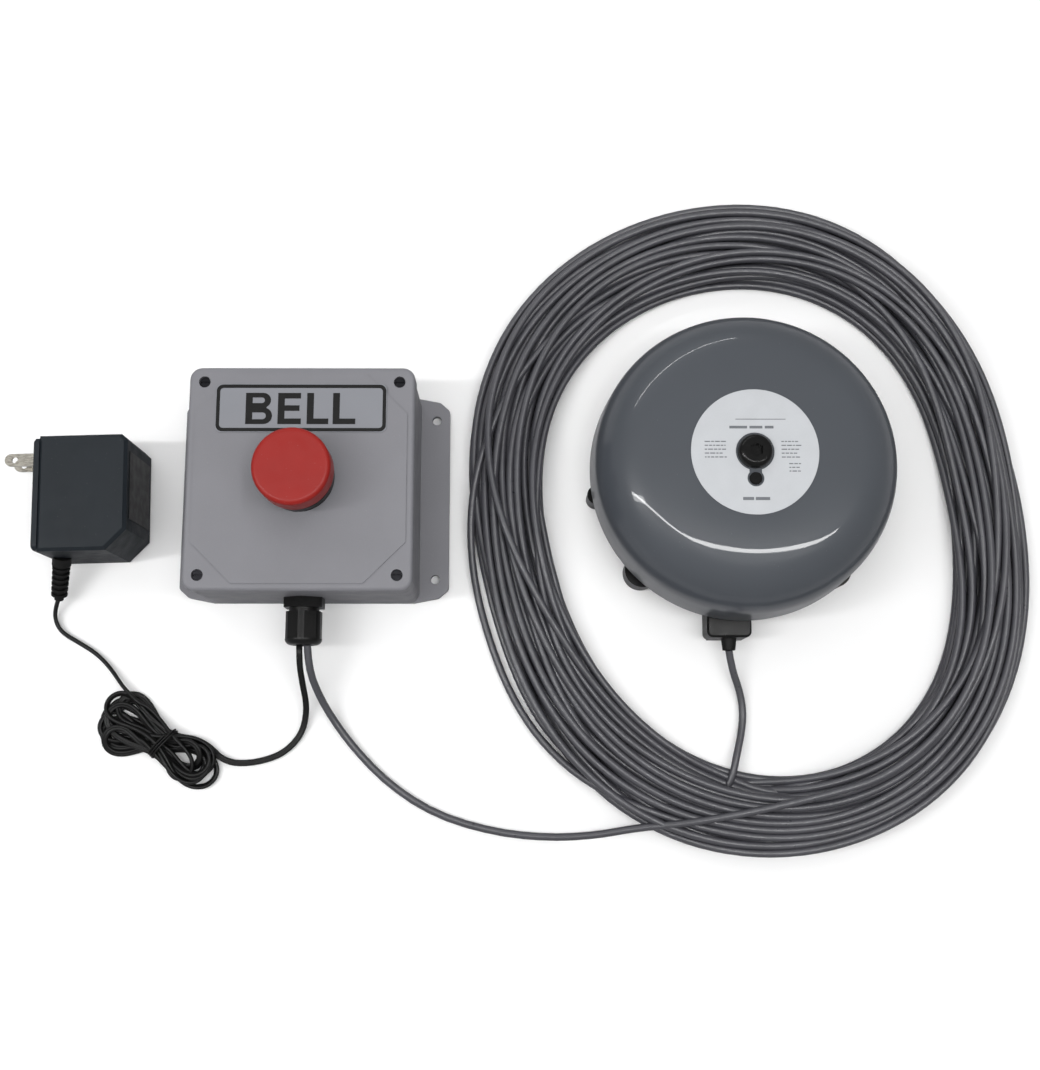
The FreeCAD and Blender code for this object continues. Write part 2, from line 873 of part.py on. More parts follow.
def button_bezel():
    """Bezel and threaded bushing in one, turned about the button's axis."""
    seat = "box_height + bezel_seal"
    top = f"{seat} + bezel_height"
    bushing = "bushing_dia / 2"
    pocket = "(collar_dia + 2 * collar_clearance) / 2"
    guide = "stem_dia / 2 + running_fit"
    outline = [
        (guide, "bushing_end_z"),
        (bushing, "bushing_end_z"),
        (bushing, seat),
        ("bezel_dia / 2", seat),
        ("bezel_dia / 2", f"{top} - bezel_bevel"),
        ("bezel_dia / 2 - bezel_bevel", top),
        (pocket, top),
        (pocket, "spring_seat_z"),
        (guide, "spring_seat_z"),
    ]
    bezel = Body("ButtonBezel")
    bezel.revolve(polygon(outline))
    bezel.publish("button_bezel", "station")


def button_hardware():
    hole = "bushing_dia + 2 * bushing_hole_play"
    seal = pipe("ButtonGasket", (0, 0, "box_height"), "bezel_dia", hole, "bezel_seal")
    publish(seal, "button_gasket", "station")
    foot = (0, 0, "box_height - cover_top - lock_nut_height")
    blank = prism("LockNutBlank", foot, "lock_nut_flats", "lock_nut_height")
    bore = cylinder("LockNutBore", foot, "bushing_dia + running_fit", "lock_nut_height")
    publish(difference("ButtonLockNut", blank, bore), "button_lock_nut", "station")
    seat = "spring_seat_z + spring_wire_dia / 2 + running_fit"
    rest = "button_face_z - button_cap_height - collar_height - spring_seat_z"
    height = f"{rest} - spring_wire_dia - 2 * running_fit"
    wire = ("spring_radius", "spring_wire_dia", "spring_pitch")
    spring = coil_spring("ReturnSpring", (0, 0, seat), *wire, height)
    publish(group("ButtonSpring", spring), "button_return_spring", "station")


def contact_block():
    strip_low = "bridge_z - contact_gap - strip_thickness"
    roof = "block_top_z - block_roof"
    wall = "(block_width - block_wall) / 2"
    slots = [rectangle(f"{side} * {wall}", 0, "block_wall + 1", "strip_width") for side in (-1, 1)]
    outside = rounded(0, 0, "block_width", "block_depth", "block_wall / 2")
    inside = rectangle(0, 0, "block_width - 2 * block_wall", "block_depth - 2 * block_wall")
    housing = Body("ContactHousing")
    housing.add(outside, "block_floor_z", "block_top_z - block_floor_z")
    housing.cut(inside, roof, f"{roof} - block_floor_z")
    ring = [circle(0, 0, "block_ring_dia / 2"), circle(0, 0, "block_ring_bore / 2")]
    housing.add(ring, "block_top_z", "bushing_end_z - block_top_z")
    housing.cut(circle(0, 0, "plunger_dia / 2 + running_fit"), "block_top_z", "block_roof")
    housing.cut(slots, f"{strip_low} + strip_thickness", "strip_thickness")
    housing.publish("contact_block_housing", "station")


def contacts():
    plunger = cylinder("Plunger", (0, 0, "plunger_end_z"), "plunger_dia", "stem_end_z - plunger_end_z")
    publish(group("ContactPlunger", plunger), "contact_plunger", "station")
    bar = box(
        "BridgeBar",
        ("-bridge_length / 2", "-bridge_width / 2", "bridge_z"),
        ("bridge_length / 2", "bridge_width / 2", "bridge_z + strip_thickness"),
    )
    bore = cylinder("BridgeBore", (0, 0, "bridge_z"), "plunger_dia", "strip_thickness")
    publish(difference("ContactBridge", bar, bore), "moving_contact_bridge", "station")
    top = "bridge_z - contact_gap"
    strips = []
    for sign, name in ((-1, "Left"), (1, "Right")):
        near, far = sorted((f"{sign} * strip_inner_x", f"{sign} * strip_outer_x"), reverse=sign < 0)
        low = (near, "-strip_width / 2", f"{top} - strip_thickness")
        strip = box(name + "Strip", low, (far, "strip_width / 2", top))
        at = (f"{sign} * terminal_x", 0, f"{top} - strip_thickness")
        hole = cylinder(name + "StripHole", at, "terminal_screw_dia + running_fit", "strip_thickness")
        strips.append(difference(name + "Contact", strip, hole))
    publish(group("FixedContacts", *strips), "fixed_contacts", "station")
    places = [(f"{sign} * terminal_x", 0) for sign in (-1, 1)]
    head = ("terminal_head_dia", "terminal_head_height")
    shank = ("terminal_screw_dia", "terminal_screw_length")
    publish(screws("TerminalScrews", places, top, head, shank), "contact_terminal_screws", "station")


WALL_FACE = "box_side / 2 - cover_overhang"
HEX_FACE = f"({WALL_FACE} + grip_flange)"
NUT_BACK = f"({HEX_FACE} + grip_nut_gap)"
NUT_FRONT = f"({NUT_BACK} + grip_nut_length)"


def cord_grip():
    """The grip's axis runs along -Y, so its levels are distances from the station's centre."""

    def ring(radius):
        return circle("grip_x", "grip_z", radius)

    side = "XZ_Plane"
    thread = "grip_thread_dia / 2"
    body = Body("GripBody")
    body.add(ring(thread), f"{WALL_FACE} - grip_inside", "grip_inside", side)
    body.add(hexagon("grip_x", "grip_z", "grip_flats"), WALL_FACE, "grip_flange", side)
    body.add(ring(f"{thread} - running_fit"), HEX_FACE, "grip_neck", side)
    through = "grip_inside + grip_flange + grip_neck"
    body.cut(ring("grip_bore_dia / 2"), f"{HEX_FACE} + grip_neck", through, side)
    body.publish("cord_grip_body", "station")

    nut = Body("GripNut")
    nut.add(ring("grip_nut_dia / 2"), NUT_BACK, "grip_nut_length", side)
    nut.round(level_with("Y", nut.body.Shape.BoundBox.YMin), "grip_nut_round")
    flats = [ring("grip_nut_dia"), hexagon("grip_x", "grip_z", "grip_nut_flats")]
    nut.cut(flats, f"{NUT_FRONT} - grip_nut_round", "grip_nut_length - grip_nut_round", side)
    nut.cut(ring("grip_seal_dia / 2"), NUT_FRONT, "grip_nut_length", side)
    nut.cut(ring(thread), f"{NUT_FRONT} - grip_nut_lip", "grip_nut_length - grip_nut_lip", side)
    nut.publish("cord_grip_dome_nut", "station")

    length = f"{NUT_FRONT} - {HEX_FACE}"
    seal = cylinder("GripSeal", ("grip_x", f"-{HEX_FACE}", "grip_z"), "grip_seal_dia", length, "-Y")
    publish(group("CordGripSeal", seal), "cord_grip_seal", "station")

    back = ("grip_x", f"-({WALL_FACE} - box_wall - grip_locknut_height)", "grip_z")
    blank = prism("GripLocknutBlank", back, "grip_flats", "grip_locknut_height", "-Y")
    hole = cylinder("GripLocknutBore", back, "grip_thread_dia + running_fit", "grip_locknut_height", "-Y")
    publish(difference("GripLocknut", blank, hole), "cord_grip_locknut", "station")


def wire_splice_caps():
    caps = []
    for i in range(3):
        at = (f"({i} + 0.6) * splice_pitch", "splice_y", "box_wall + splice_dia / 2")
        caps.append(cone(f"SpliceCap{i}", at, "splice_dia", "splice_tip_dia", "splice_length", "+Y"))
    publish(group("SpliceCaps", *caps), "wire_splice_caps", "station")


# --- bell -------------------------------------------------------------------------------


def gong():
    """A flat crown, a shallow arc, a quarter-round shoulder and a nearly upright skirt."""
    crown = ("sin(crown_angle)", "(1 - cos(crown_angle))")
    shoulder = ("(sin(skirt_angle) - sin(crown_angle))", "(cos(crown_angle) - cos(skirt_angle))")
    drop = f"(gong_top_z - crown_radius * {crown[1]} - shoulder_radius * {shoulder[1]} - gong_rim_z)"
    skirt = f"{drop} / tan(skirt_angle)"
    flat = f"(gong_radius - {skirt} - shoulder_radius * {shoulder[0]} - crown_radius * {crown[0]})"

    def crown_end(inset):
        across = f"{flat} + (crown_radius - {inset}) * {crown[0]}"
        return across, f"gong_top_z - {inset} - (crown_radius - {inset}) * {crown[1]}"

    def shoulder_end(inset):
        across, up = crown_end(inset)
        return (
            f"{across} + (shoulder_radius - {inset}) * {shoulder[0]}",
            f"{up} - (shoulder_radius - {inset}) * {shoulder[1]}",
        )

    outline = [
        ("gong_hole_dia / 2", "gong_top_z"),
        (flat, "gong_top_z"),
        crown_end("0"),
        shoulder_end("0"),
        ("gong_radius", "gong_rim_z"),
        ("gong_radius - gong_wall / sin(skirt_angle)", "gong_rim_z"),
        shoulder_end("gong_wall"),
        crown_end("gong_wall"),
        (flat, "gong_top_z - gong_wall"),
        ("gong_hole_dia / 2", "gong_top_z - gong_wall"),
    ]
    arcs = {
        1: ("crown_radius", -1),
        2: ("shoulder_radius", -1),
        6: ("shoulder_radius - gong_wall", 1),
        7: ("crown_radius - gong_wall", 1),
    }
    shell = Body("Gong")
    shell.revolve(polygon(outline, arcs))
    shell.cut(circle(0, "-pin_offset", "pin_hole_dia / 2"), "gong_top_z", "gong_wall")
    shell.publish("gong", "bell")


def gong_label():
    disc = Body("GongLabel")
    top = "gong_top_z + disc_label_thickness"
    disc.add(circle(0, 0, "disc_label_dia / 2"), "gong_top_z", "disc_label_thickness")
    disc.cut(circle(0, 0, "keyhole_dia / 2"), top, "disc_label_thickness")
    disc.cut(circle(0, "-pin_offset", "keyhole_foot_dia / 2"), top, "disc_label_thickness")
    disc.cut(rectangle(0, "-pin_offset / 2", "keyhole_neck", "pin_offset"), top, "disc_label_thickness")
    disc.publish("gong_label", "bell")


def gong_fixings():
    screw = Body("GongScrew")
    screw.add(circle(0, 0, "gong_head_dia / 2"), "gong_top_z", "gong_head_height")
    screw.round(level_with("Z", size("gong_top_z") + size("gong_head_height")), "gong_head_round")
    screw.add(circle(0, 0, "gong_shank_dia / 2"), "gong_top_z - gong_shank_length", "gong_shank_length")
    screw.cut(hexagon(0, 0, "gong_socket_flats"), "gong_top_z + gong_head_height", "gong_socket_depth")
    screw.publish("gong_screw", "bell")

    seat = "gong_top_z - gong_wall"
    post = Body("GongPost")
    post.add(circle(0, 0, "post_flange_dia / 2"), "base_floor", "post_flange_height")
    post.add(circle(0, 0, "gong_post_dia / 2"), "base_floor", f"{seat} - base_floor")
    length = "pin_offset + pin_arm_width"
    arm = rounded(0, "-pin_offset / 2", "pin_arm_width", length, "pin_arm_width / 3")
    post.add(arm, "pin_arm_z", "pin_arm_height")
    post.cut(circle(0, 0, "gong_shank_dia / 2 + running_fit"), seat, "gong_shank_length - gong_wall")
    post.cut(circle(0, "-pin_offset", "pin_dia / 2"), "pin_arm_z + pin_arm_height", "pin_arm_height")
    post.publish("gong_post", "bell")

    height = "gong_top_z + pin_rise - pin_arm_z"
    pin = cylinder("LocatingPin", (0, "-pin_offset", "pin_arm_z"), "pin_dia", height)
    publish(group("GongPin", pin), "gong_locating_pin", "bell")


def bell_base():
    level = "-lug_reach * sin(lug_angle)"
    lugs = [circle(f"{side} * lug_reach", level, "lug_radius") for side in (-1, 1)]
    stems = rectangle(0, level, "2 * lug_reach", "2 * lug_radius")
    base = Body("BellBase")
    base.add(circle(0, 0, "base_radius"), 0, "base_rim_height")
    base.cut(circle(0, 0, "base_radius - base_rim_wall"), "base_rim_height", "base_rim_height - base_floor")
    # Ears and lugs run in under the bowl, so the bowl is cut again after them.
    base.add(four("ear_pitch", "ear_pitch", "ear_radius"), 0, "ear_height")
    base.add(stems, 0, "ear_height")
    base.add(lugs, 0, "ear_height")
    length = "-clamp_front_y - base_radius + base_rim_wall"
    middle = "(clamp_front_y - base_radius + base_rim_wall) / 2"
    base.add(rectangle("clamp_x", middle, "tongue_width", length), 0, "tongue_height")
    base.cut(circle(0, 0, "base_radius - base_rim_wall"), "base_rim_height", "base_rim_height - base_floor")
    base.cut(four("ear_pitch", "ear_pitch", "ear_hole_dia / 2"), "ear_height", "ear_height")
    base.cut(mechanism_holes(), "base_floor", "frame_sheet")
    entry = circle("bushing_x", "cable_z", "cable_bore_dia / 2")
    base.cut(entry, "base_radius", "2 * base_rim_wall", "XZ_Plane")
    base.publish("bell_base", "bell")


def cable_entry():
    clamp = Body("CableClamp")
    middle = "(clamp_front_y + clamp_back_y) / 2"
    length = "clamp_back_y - clamp_front_y"
    shape = rounded("clamp_x", middle, "clamp_width", length, "clamp_round")
    clamp.add(shape, "tongue_height", "clamp_height")
    clamp.bevel(level_with("Z", size("tongue_height") + size("clamp_height")), "clamp_round / 3")
    clamp.cut(circle("bushing_x", "cable_z", "cable_bore_dia / 2"), "-clamp_front_y", length, "XZ_Plane")
    places = [(f"clamp_x + {side} * clamp_screw_pitch / 2", "clamp_screw_y") for side in (-1, 1)]
    holes = [circle(x, y, "small_screw_dia / 2 + running_fit") for x, y in places]
    clamp.cut(holes, "tongue_height + clamp_height", "small_screw_length")
    clamp.publish("cable_clamp_body", "bell")
    head = ("small_head_dia", "small_head_height")
    shank = ("small_screw_dia", "small_screw_length")
    item = screws("ClampScrews", places, "tongue_height + clamp_height", head, shank)
    publish(item, "cable_clamp_screws", "bell")
    mouth = ("bushing_x", "clamp_front_y", "cable_z")
    sleeve = cone("Sleeve", mouth, "sleeve_dia", "sleeve_tip_dia", "sleeve_length", "-Y")
    publish(group("CableBushing", sleeve), "cable_bushing", "bell")


def mechanism_screw_places():
    x_near = "frame_back_x + 3 * frame_sheet"
    x_far = "frame_wall_end_x - 2 * frame_sheet"
    return [(x_near, "frame_high_y - 2 * frame_sheet"), (x_far, "frame_low_y + 2.5 * frame_sheet")]


def mechanism_holes():
    return [circle(x, y, "small_screw_dia / 2 + running_fit") for x, y in mechanism_screw_places()]


def mechanism_frame():
    """One folded plate: foot, back and side, with two ears for the hinge pin."""
    top = "frame_top_z"
    foot_top = "base_floor + frame_sheet"
    back, end = "frame_back_x", "frame_wall_end_x"
    low, high = "frame_low_y", "frame_high_y"
    middle = (f"({back} + {end}) / 2", f"({low} + {high}) / 2")
    foot = rectangle(*middle, f"{end} - {back}", f"{high} - {low}")
    back_plate = rectangle(f"{back} + frame_sheet / 2", middle[1], "frame_sheet", f"{high} - {low}")
    side_plate = rectangle(middle[0], f"{low} + frame_sheet / 2", f"{end} - {back}", "frame_sheet")
    ear = rectangle(
        "(frame_ear_x + frame_ear_tip_x) / 2",
        f"{low} + frame_ear_width / 2",
        "frame_ear_tip_x - frame_ear_x",
        "frame_ear_width",
    )
    frame = Body("MechanismFrame")
    frame.add(foot, "base_floor", "frame_sheet")
    frame.add(back_plate, foot_top, f"{top} - ({foot_top})")
    frame.add(side_plate, foot_top, f"{top} - ({foot_top})")
    frame.add(ear, "frame_ear_z", "frame_sheet")
    frame.add(ear, f"{top} - frame_sheet", "frame_sheet")
    frame.cut(circle("pivot_x", "pivot_y", "pivot_pin_dia / 2"), top, f"{top} - frame_ear_z")
    frame.cut(mechanism_holes(), foot_top, "frame_sheet")
    frame.publish("mechanism_frame", "bell")
    head = ("small_head_dia", "small_head_height")
    shank = ("small_screw_dia", "2 * frame_sheet")
    item = screws("MechanismScrews", mechanism_screw_places(), foot_top, head, shank)
    publish(item, "mechanism_screws", "bell")


def magnet():
    face = "frame_back_x + frame_sheet"
    core = cylinder("MagnetCore", (face, "coil_y", "coil_z"), "core_dia", f"core_end_x - ({face})", "+X")
    publish(group("CoilCore", core), "coil_core", "bell")
    at = ("bobbin_start_x", "coil_y", "coil_z")
    far = ("bobbin_start_x + bobbin_length - bobbin_flange", "coil_y", "coil_z")
    tube = cylinder("BobbinTube", at, "bobbin_tube_dia", "bobbin_length", "+X")
    near_flange = cylinder("BobbinNear", at, "bobbin_flange_dia", "bobbin_flange", "+X")
    far_flange = cylinder("BobbinFar", far, "bobbin_flange_dia", "bobbin_flange", "+X")
    bore = cylinder("BobbinBore", at, "core_dia + running_fit", "bobbin_length", "+X")
    blank = fuse("BobbinBlank", tube, near_flange, far_flange)
    publish(difference("CoilBobbin", blank, bore), "coil_bobbin", "bell")
    start = ("bobbin_start_x + bobbin_flange", "coil_y", "coil_z")
    length = "bobbin_length - 2 * bobbin_flange"
    hole = "bobbin_tube_dia + running_fit"
    publish(pipe("CoilWinding", start, "winding_dia", hole, length, "+X"), "coil_winding", "bell")


def armature():
    """A hinged plate. The core pulls its far end in, which throws the striker outwards."""
    plate = box(
        "ArmaturePlate",
        ("armature_x", "pivot_y", "barrel_low_z"),
        ("armature_x + armature_thickness", "armature_high_y", "armature_high_z"),
    )
    foot = ("pivot_x", "pivot_y", "barrel_low_z")
    length = "armature_high_z - barrel_low_z"
    barrel = cylinder("ArmatureBarrel", foot, "barrel_dia", length)
    bore = cylinder("ArmatureBore", foot, "pivot_pin_dia + 2 * pivot_fit", length)
    publish(difference("Armature", fuse("ArmatureBlank", plate, barrel), bore), "armature", "bell")
    pin_start = ("pivot_x", "pivot_y", "frame_ear_z - 1")
    pin = cylinder("HingePin", pin_start, "pivot_pin_dia", "frame_top_z - frame_ear_z + 2")
    publish(group("ArmaturePin", pin), "armature_pivot_pin", "bell")
    seat = "frame_ear_z + frame_sheet + hinge_spring_wire_dia"
    at = ("pivot_x", "pivot_y", seat)
    height = f"barrel_low_z - ({seat}) - hinge_spring_wire_dia"
    spring = coil_spring(
        "HingeSpring", at, "hinge_spring_radius", "hinge_spring_wire_dia", "hinge_spring_pitch", height
    )
    publish(group("ArmatureSpring", spring), "armature_spring", "bell")


def striker():
    rod = cylinder("RodBar", ("rod_gap", 0, 0), "rod_dia", "rod_length", "+X")
    arm = group("RodTurn", rod)
    arm.Placement = Placement(Vector(), Rotation(Vector(0, 0, 1), size("rod_turn")))
    put(arm, ("pivot_x", "pivot_y", "coil_z"))
    publish(group("StrikerRod", arm), "striker_rod", "bell")
    ball = primitive("Sphere", "StrikerBall", ("ball_x", "ball_y", "coil_z"), Radius="ball_radius")
    publish(group("Striker", ball), "striker_ball", "bell")


def terminal_strip():
    strip = Body("TerminalBlock")
    shape = rounded("block_x", "block_y", "strip_block_length", "strip_block_width", "1")
    strip.add(shape, "base_floor", "strip_block_height")
    places = [(f"block_x + {side} * strip_block_pitch / 2", "block_y") for side in (-1, 1)]
    top = "base_floor + strip_block_height"
    holes = [circle(x, y, "small_screw_dia / 2 + running_fit") for x, y in places]
    strip.cut(holes, top, "small_screw_length")
    strip.publish("bell_terminal_block", "bell")
    head = ("small_head_dia", "small_head_height")
    shank = ("small_screw_dia", "small_screw_length")
    publish(screws("StripScrews", places, top, head, shank), "bell_terminal_screws", "bell")


# --- plug-in transformer ----------------------------------------------------------------


def adapter_case():
    half_depth, half_width = "adapter_depth / 2", "adapter_width / 2"
    joint = f"(adapter_plate - {half_depth})"
    outline = [
        (joint, f"-{half_width}"),
        (f"{half_depth} - adapter_bevel", f"-{half_width}"),
        (half_depth, f"adapter_bevel - {half_width}"),
        (half_depth, f"{half_width} - adapter_small_bevel"),
        (f"{half_depth} - adapter_small_bevel", half_width),
        (joint, half_width),
    ]
    top = size("adapter_height")
    inside_z = "adapter_height - 2 * adapter_wall"
    case = Body("AdapterCase")
    case.add(polygon(outline), 0, "adapter_height")
    case.bevel(lambda e: level_with("Z", top)(e) or level_with("Z", 0)(e), "adapter_edge")
    pocket = rectangle(0, "adapter_height / 2", "adapter_width - 2 * adapter_wall", inside_z)
    case.cut(pocket, joint, "adapter_pocket", "YZ_Plane", reverse=True)
    high = f"{half_width} - adapter_wall"
    middle = f"(adapter_deep_low_y + {high}) / 2"
    deep = rectangle(middle, "adapter_height / 2", f"{high} - adapter_deep_low_y", inside_z)
    case.cut(deep, joint, "adapter_deep_pocket", "YZ_Plane", reverse=True)
    case.publish("adapter_case", "adapter")


def blade_levels():
    return [f"adapter_height / 2 + {side} * blade_pitch / 2" for side in (-1, 1)]


def adapter_face_plate():
    plate = Body("AdapterFacePlate")
    face = "-adapter_depth / 2"
    shape = rounded(
        0,
        "adapter_height / 2",
        "adapter_width - 2 * adapter_plate_inset",
        "adapter_height - 2 * adapter_plate_inset",
        "adapter_small_bevel",
    )
    plate.add(shape, face, "adapter_plate", "YZ_Plane")
    plate.bevel(level_with("X", -size("adapter_depth") / 2), "adapter_edge / 2")
    slots = [rectangle("blade_y", level, "blade_width", "blade_thickness") for level in blade_levels()]
    plate.cut(slots, face, "adapter_plate", "YZ_Plane", reverse=True)
    plate.publish("adapter_face_plate", "adapter")


def adapter_blades():
    blades = []
    for i, level in enumerate(blade_levels()):
        low = f"{level} - blade_thickness / 2"
        tip = "blade_tip_x + blade_width / 2"
        bar = box(
            f"BladeBar{i}",
            (tip, "blade_y - blade_width / 2", low),
            ("blade_root_x", "blade_y + blade_width / 2", f"{level} + blade_thickness / 2"),
        )
        end = cylinder(f"BladeTip{i}", (tip, "blade_y", low), "blade_width", "blade_thickness")
        at = ("blade_tip_x + blade_hole_inset", "blade_y", low)
        hole = cylinder(f"BladeHole{i}", at, "blade_hole_dia", "blade_thickness")
        blades.append(difference(f"Blade{i}", fuse(f"BladeBlank{i}", bar, end), hole))
    publish(group("AdapterBlades", *blades), "adapter_blades", "adapter")


def adapter_transformer():
    back, front = "core_back_x", "core_back_x + core_stack"
    low, high = "core_low_z", "core_low_z + core_height"
    stack = box("CoreStack", (back, "-core_width / 2", low), (front, "core_width / 2", high))
    window_low = "core_low_z + (core_height - window_height) / 2"
    window_high = f"{window_low} + window_height"
    windows = []
    for name, near in (("Left", "-leg_width / 2 - window_width"), ("Right", "leg_width / 2")):
        corner = (back, near, window_low)
        windows.append(box(name + "Window", corner, (front, f"{near} + window_width", window_high)))
    publish(difference("AdapterCore", stack, group("CoreWindows", *windows)), "adapter_core", "adapter")

    def block(name, reach, bottom, top):
        """A block round the middle leg, reach being how far it stands out."""
        return box(
            name,
            (f"{back} - ({reach})", f"-leg_width / 2 - ({reach})", bottom),
            (f"{front} + {reach}", f"leg_width / 2 + {reach}", top),
        )

    leg = block("FormerHole", "running_fit", window_low, window_high)
    tube = block("FormerTube", "former_wall", window_low, window_high)
    feet = block("FormerFoot", "former_reach", window_low, f"{window_low} + former_flange")
    caps = block("FormerCap", "former_reach", f"{window_high} - former_flange", window_high)
    former = difference("AdapterBobbin", fuse("FormerBlank", tube, feet, caps), leg)
    publish(former, "adapter_bobbin", "adapter")
    coil_low, coil_high = f"{window_low} + former_flange", f"{window_high} - former_flange"
    wound = block("WindingBlank", "former_reach - former_wall", coil_low, coil_high)
    hollow = block("WindingHole", "former_wall", coil_low, coil_high)
    publish(difference("AdapterWindings", wound, hollow), "adapter_windings", "adapter")


def adapter_strain_relief():
    """A ribbed boot that leans down and outwards from the case's side."""
    start = "boot_collar"
    parts = [
        cylinder("BootCollar", (0, 0, "-boot_rib"), "boot_collar_dia", "boot_collar + boot_rib"),
        cone("BootCore", (0, 0, 0), "boot_dia", "boot_tip_dia", "boot_length"),
    ]
    for i in range(6):
        at = (0, 0, f"{start} + {i} * boot_rib_pitch + boot_rib")
        parts.append(cylinder(f"BootRib{i}", at, f"boot_rib_dia - {i} * 0.15", "boot_rib"))
    boot = fuse("BootBlank", *parts)
    boot.Placement = Placement(Vector(), Rotation(Vector(0, 0, 1), BOOT_AXIS))
    put(boot, ("boot_x", "-adapter_width / 2", "boot_z"))
    wall = box(
        "BootTrim",
        ("-adapter_depth / 2", "-adapter_width / 2", 0),
        ("adapter_depth / 2", 0, "adapter_height"),
    )
    publish(difference("StrainRelief", boot, wall), "adapter_strain_relief", "adapter")


def adapter_rating_label():
    face = "adapter_depth / 2"
    high = (f"{face} + rating_thickness", "rating_low_y + rating_width", "rating_low_z + rating_height")
    plate = box("RatingPlate", (face, "rating_low_y", "rating_low_z"), high)
    publish(group("RatingLabel", plate), "adapter_rating_label", "adapter")


# --- cords ------------------------------------------------------------------------------


def rounded_route(corners):
    """Straight runs joined by tangent arcs. Returns the wire, its length and each radius."""
    edges = []
    radii = []
    last = corners[0]
    for before, corner, after in zip(corners, corners[1:], corners[2:]):
        back, ahead = before - corner, after - corner
        turn = math.pi - back.getAngle(ahead)
        shorter = min(back.Length, ahead.Length)
        radii.append(0.45 * shorter / math.tan(turn / 2))
        reach = 0.45 * shorter
        start = corner + Vector(back).normalize() * reach
        end = corner + Vector(ahead).normalize() * reach
        inward = (Vector(back).normalize() + Vector(ahead).normalize()).normalize()
        middle = corner + inward * radii[-1] * (1 / math.cos(turn / 2) - 1)
        edges.append(Part.LineSegment(last, start).toShape())
        edges.append(Part.Arc(start, middle, end).toShape())
        last = end
    edges.append(Part.LineSegment(last, corners[-1]).toShape())
    wire = Part.Wire(edges)
    return wire, wire.Length, radii


def cord_tube(label, route, diameter):
    corners = [Vector(*point) for point in route]
    wire, length, radii = rounded_route(corners)
    section = Part.Wire(Part.Circle(corners[0], corners[1] - corners[0], diameter / 2).toShape())
    item = doc.addObject("Part::Feature", label.title().replace("_", ""))
    item.Shape = wire.makePipeShell([section], True, True)
    ideal = math.pi * diameter**2 / 4 * length
    smallest = min(radii)
    print(f"{label}: {length:.1f} mm, volume over ideal {item.Shape.Volume / ideal:.4f}")
    print(f"  radii {[round(r, 1) for r in radii]}, smallest {smallest / diameter:.1f} diameters")
    publish(item, label)


def closed_face(points):
    curve = Part.BSplineCurve()
    curve.interpolate([Vector(x, y, 0) for x, y in points], PeriodicFlag=True)
    return Part.Face(Part.Wire(curve.toShape()))


def cable_coil():
    """The loop of loose turns as one ring with rounded upper edges."""
    ring = closed_face(COIL_OUTSIDE).cut(closed_face(COIL_INSIDE))
    solid = ring.extrude(Vector(0, 0, size("coil_height"))).Solids[0]
    top = level_with("Z", size("coil_height"))
    item = doc.addObject("Part::Feature", "CableCoil")
    item.Shape = solid.makeFillet(size("coil_edge_round"), [e for e in solid.Edges if top(e)])
    publish(item, "bell_cable_coil")


def cord_hank():
    """The tied hank, fanned at both ends and drawn in at the tie."""
    hank = doc.addObject("Part::Feature", "CordHank")
    hank.Shape = closed_face(HANK_OUTLINE).extrude(Vector(0, 0, size("hank_height")))
    turn = Rotation(Vector(0, 0, 1), size("hank_turn"))
    hank.Placement = Placement(Vector(size("hank_x"), size("hank_y"), 0), turn)
    publish(hank, "supply_cord_hank")


def cord_tie():
    outer = box(
        "TieOuter",
        ("-tie_width / 2", "-tie_span / 2", 0),
        ("tie_width / 2", "tie_span / 2", "tie_height"),
    )
    inner = box(
        "TieInner",
        ("-tie_width / 2", "tie_wall - tie_span / 2", "tie_wall / 2"),
        ("tie_width / 2", "tie_span / 2 - tie_wall", "tie_height - tie_wall"),
    )
    tie = difference("CordTie", outer, inner)
    tie.Placement = Placement(Vector(), Rotation(Vector(0, 0, 1), size("tie_turn")))
    put(tie, ("tie_x", "tie_y", 0))
    publish(tie, "supply_cord_tie")


def cords():
    cable, cord = size("cable_dia"), size("cord_dia")
    cord_tube("bell_cable_station_lead", CABLE_STATION_ROUTE, cable)
    cord_tube("bell_cable_bell_lead", CABLE_BELL_ROUTE, cable)
    cord_tube("supply_cord_station_lead", CORD_STATION_ROUTE, cord)
    cord_tube("supply_cord_adapter_lead", CORD_ADAPTER_ROUTE, cord)
    cable_coil()
    cord_hank()
    cord_tie()


def build():
    fill_sheet()
    enclosure_base()
    enclosure_cover()
    cover_gasket()
    cover_fasteners()
    legend_label()
    button_cap()
    button_stem()
    button_bezel()
    button_hardware()
    contact_block()
    contacts()
    cord_grip()
    wire_splice_caps()
    gong()
    gong_label()
    gong_fixings()
    bell_base()
    cable_entry()
    mechanism_frame()
    magnet()
    armature()
    striker()
    terminal_strip()
    adapter_case()
    adapter_face_plate()
    adapter_blades()
    adapter_transformer()
    adapter_strain_relief()
    adapter_rating_label()
    cords()
    doc.recompute()


def check():
    """Stop before anything is written if an object failed or a shape is unsound."""
    failed = [item.Label for item in doc.Objects if {"Invalid", "Error"} & set(item.State)]
    unsound = [item.Label for item in nodes if item.Shape.isNull() or not item.Shape.isValid()]
    assert not failed and not unsound, f"failed {failed}, unsound {unsound}"


def write():
    os.makedirs(STEP_FOLDER, exist_ok=True)
    for item in nodes:
        item.Shape.exportStep(os.path.join(STEP_FOLDER, item.Label + ".step"))
    print(len(nodes), "nodes written")


build()
check()
write()
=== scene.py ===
"""Looks for the fire alarm bell kit: bell, push-button station, plug-in transformer and their cords."""

import math

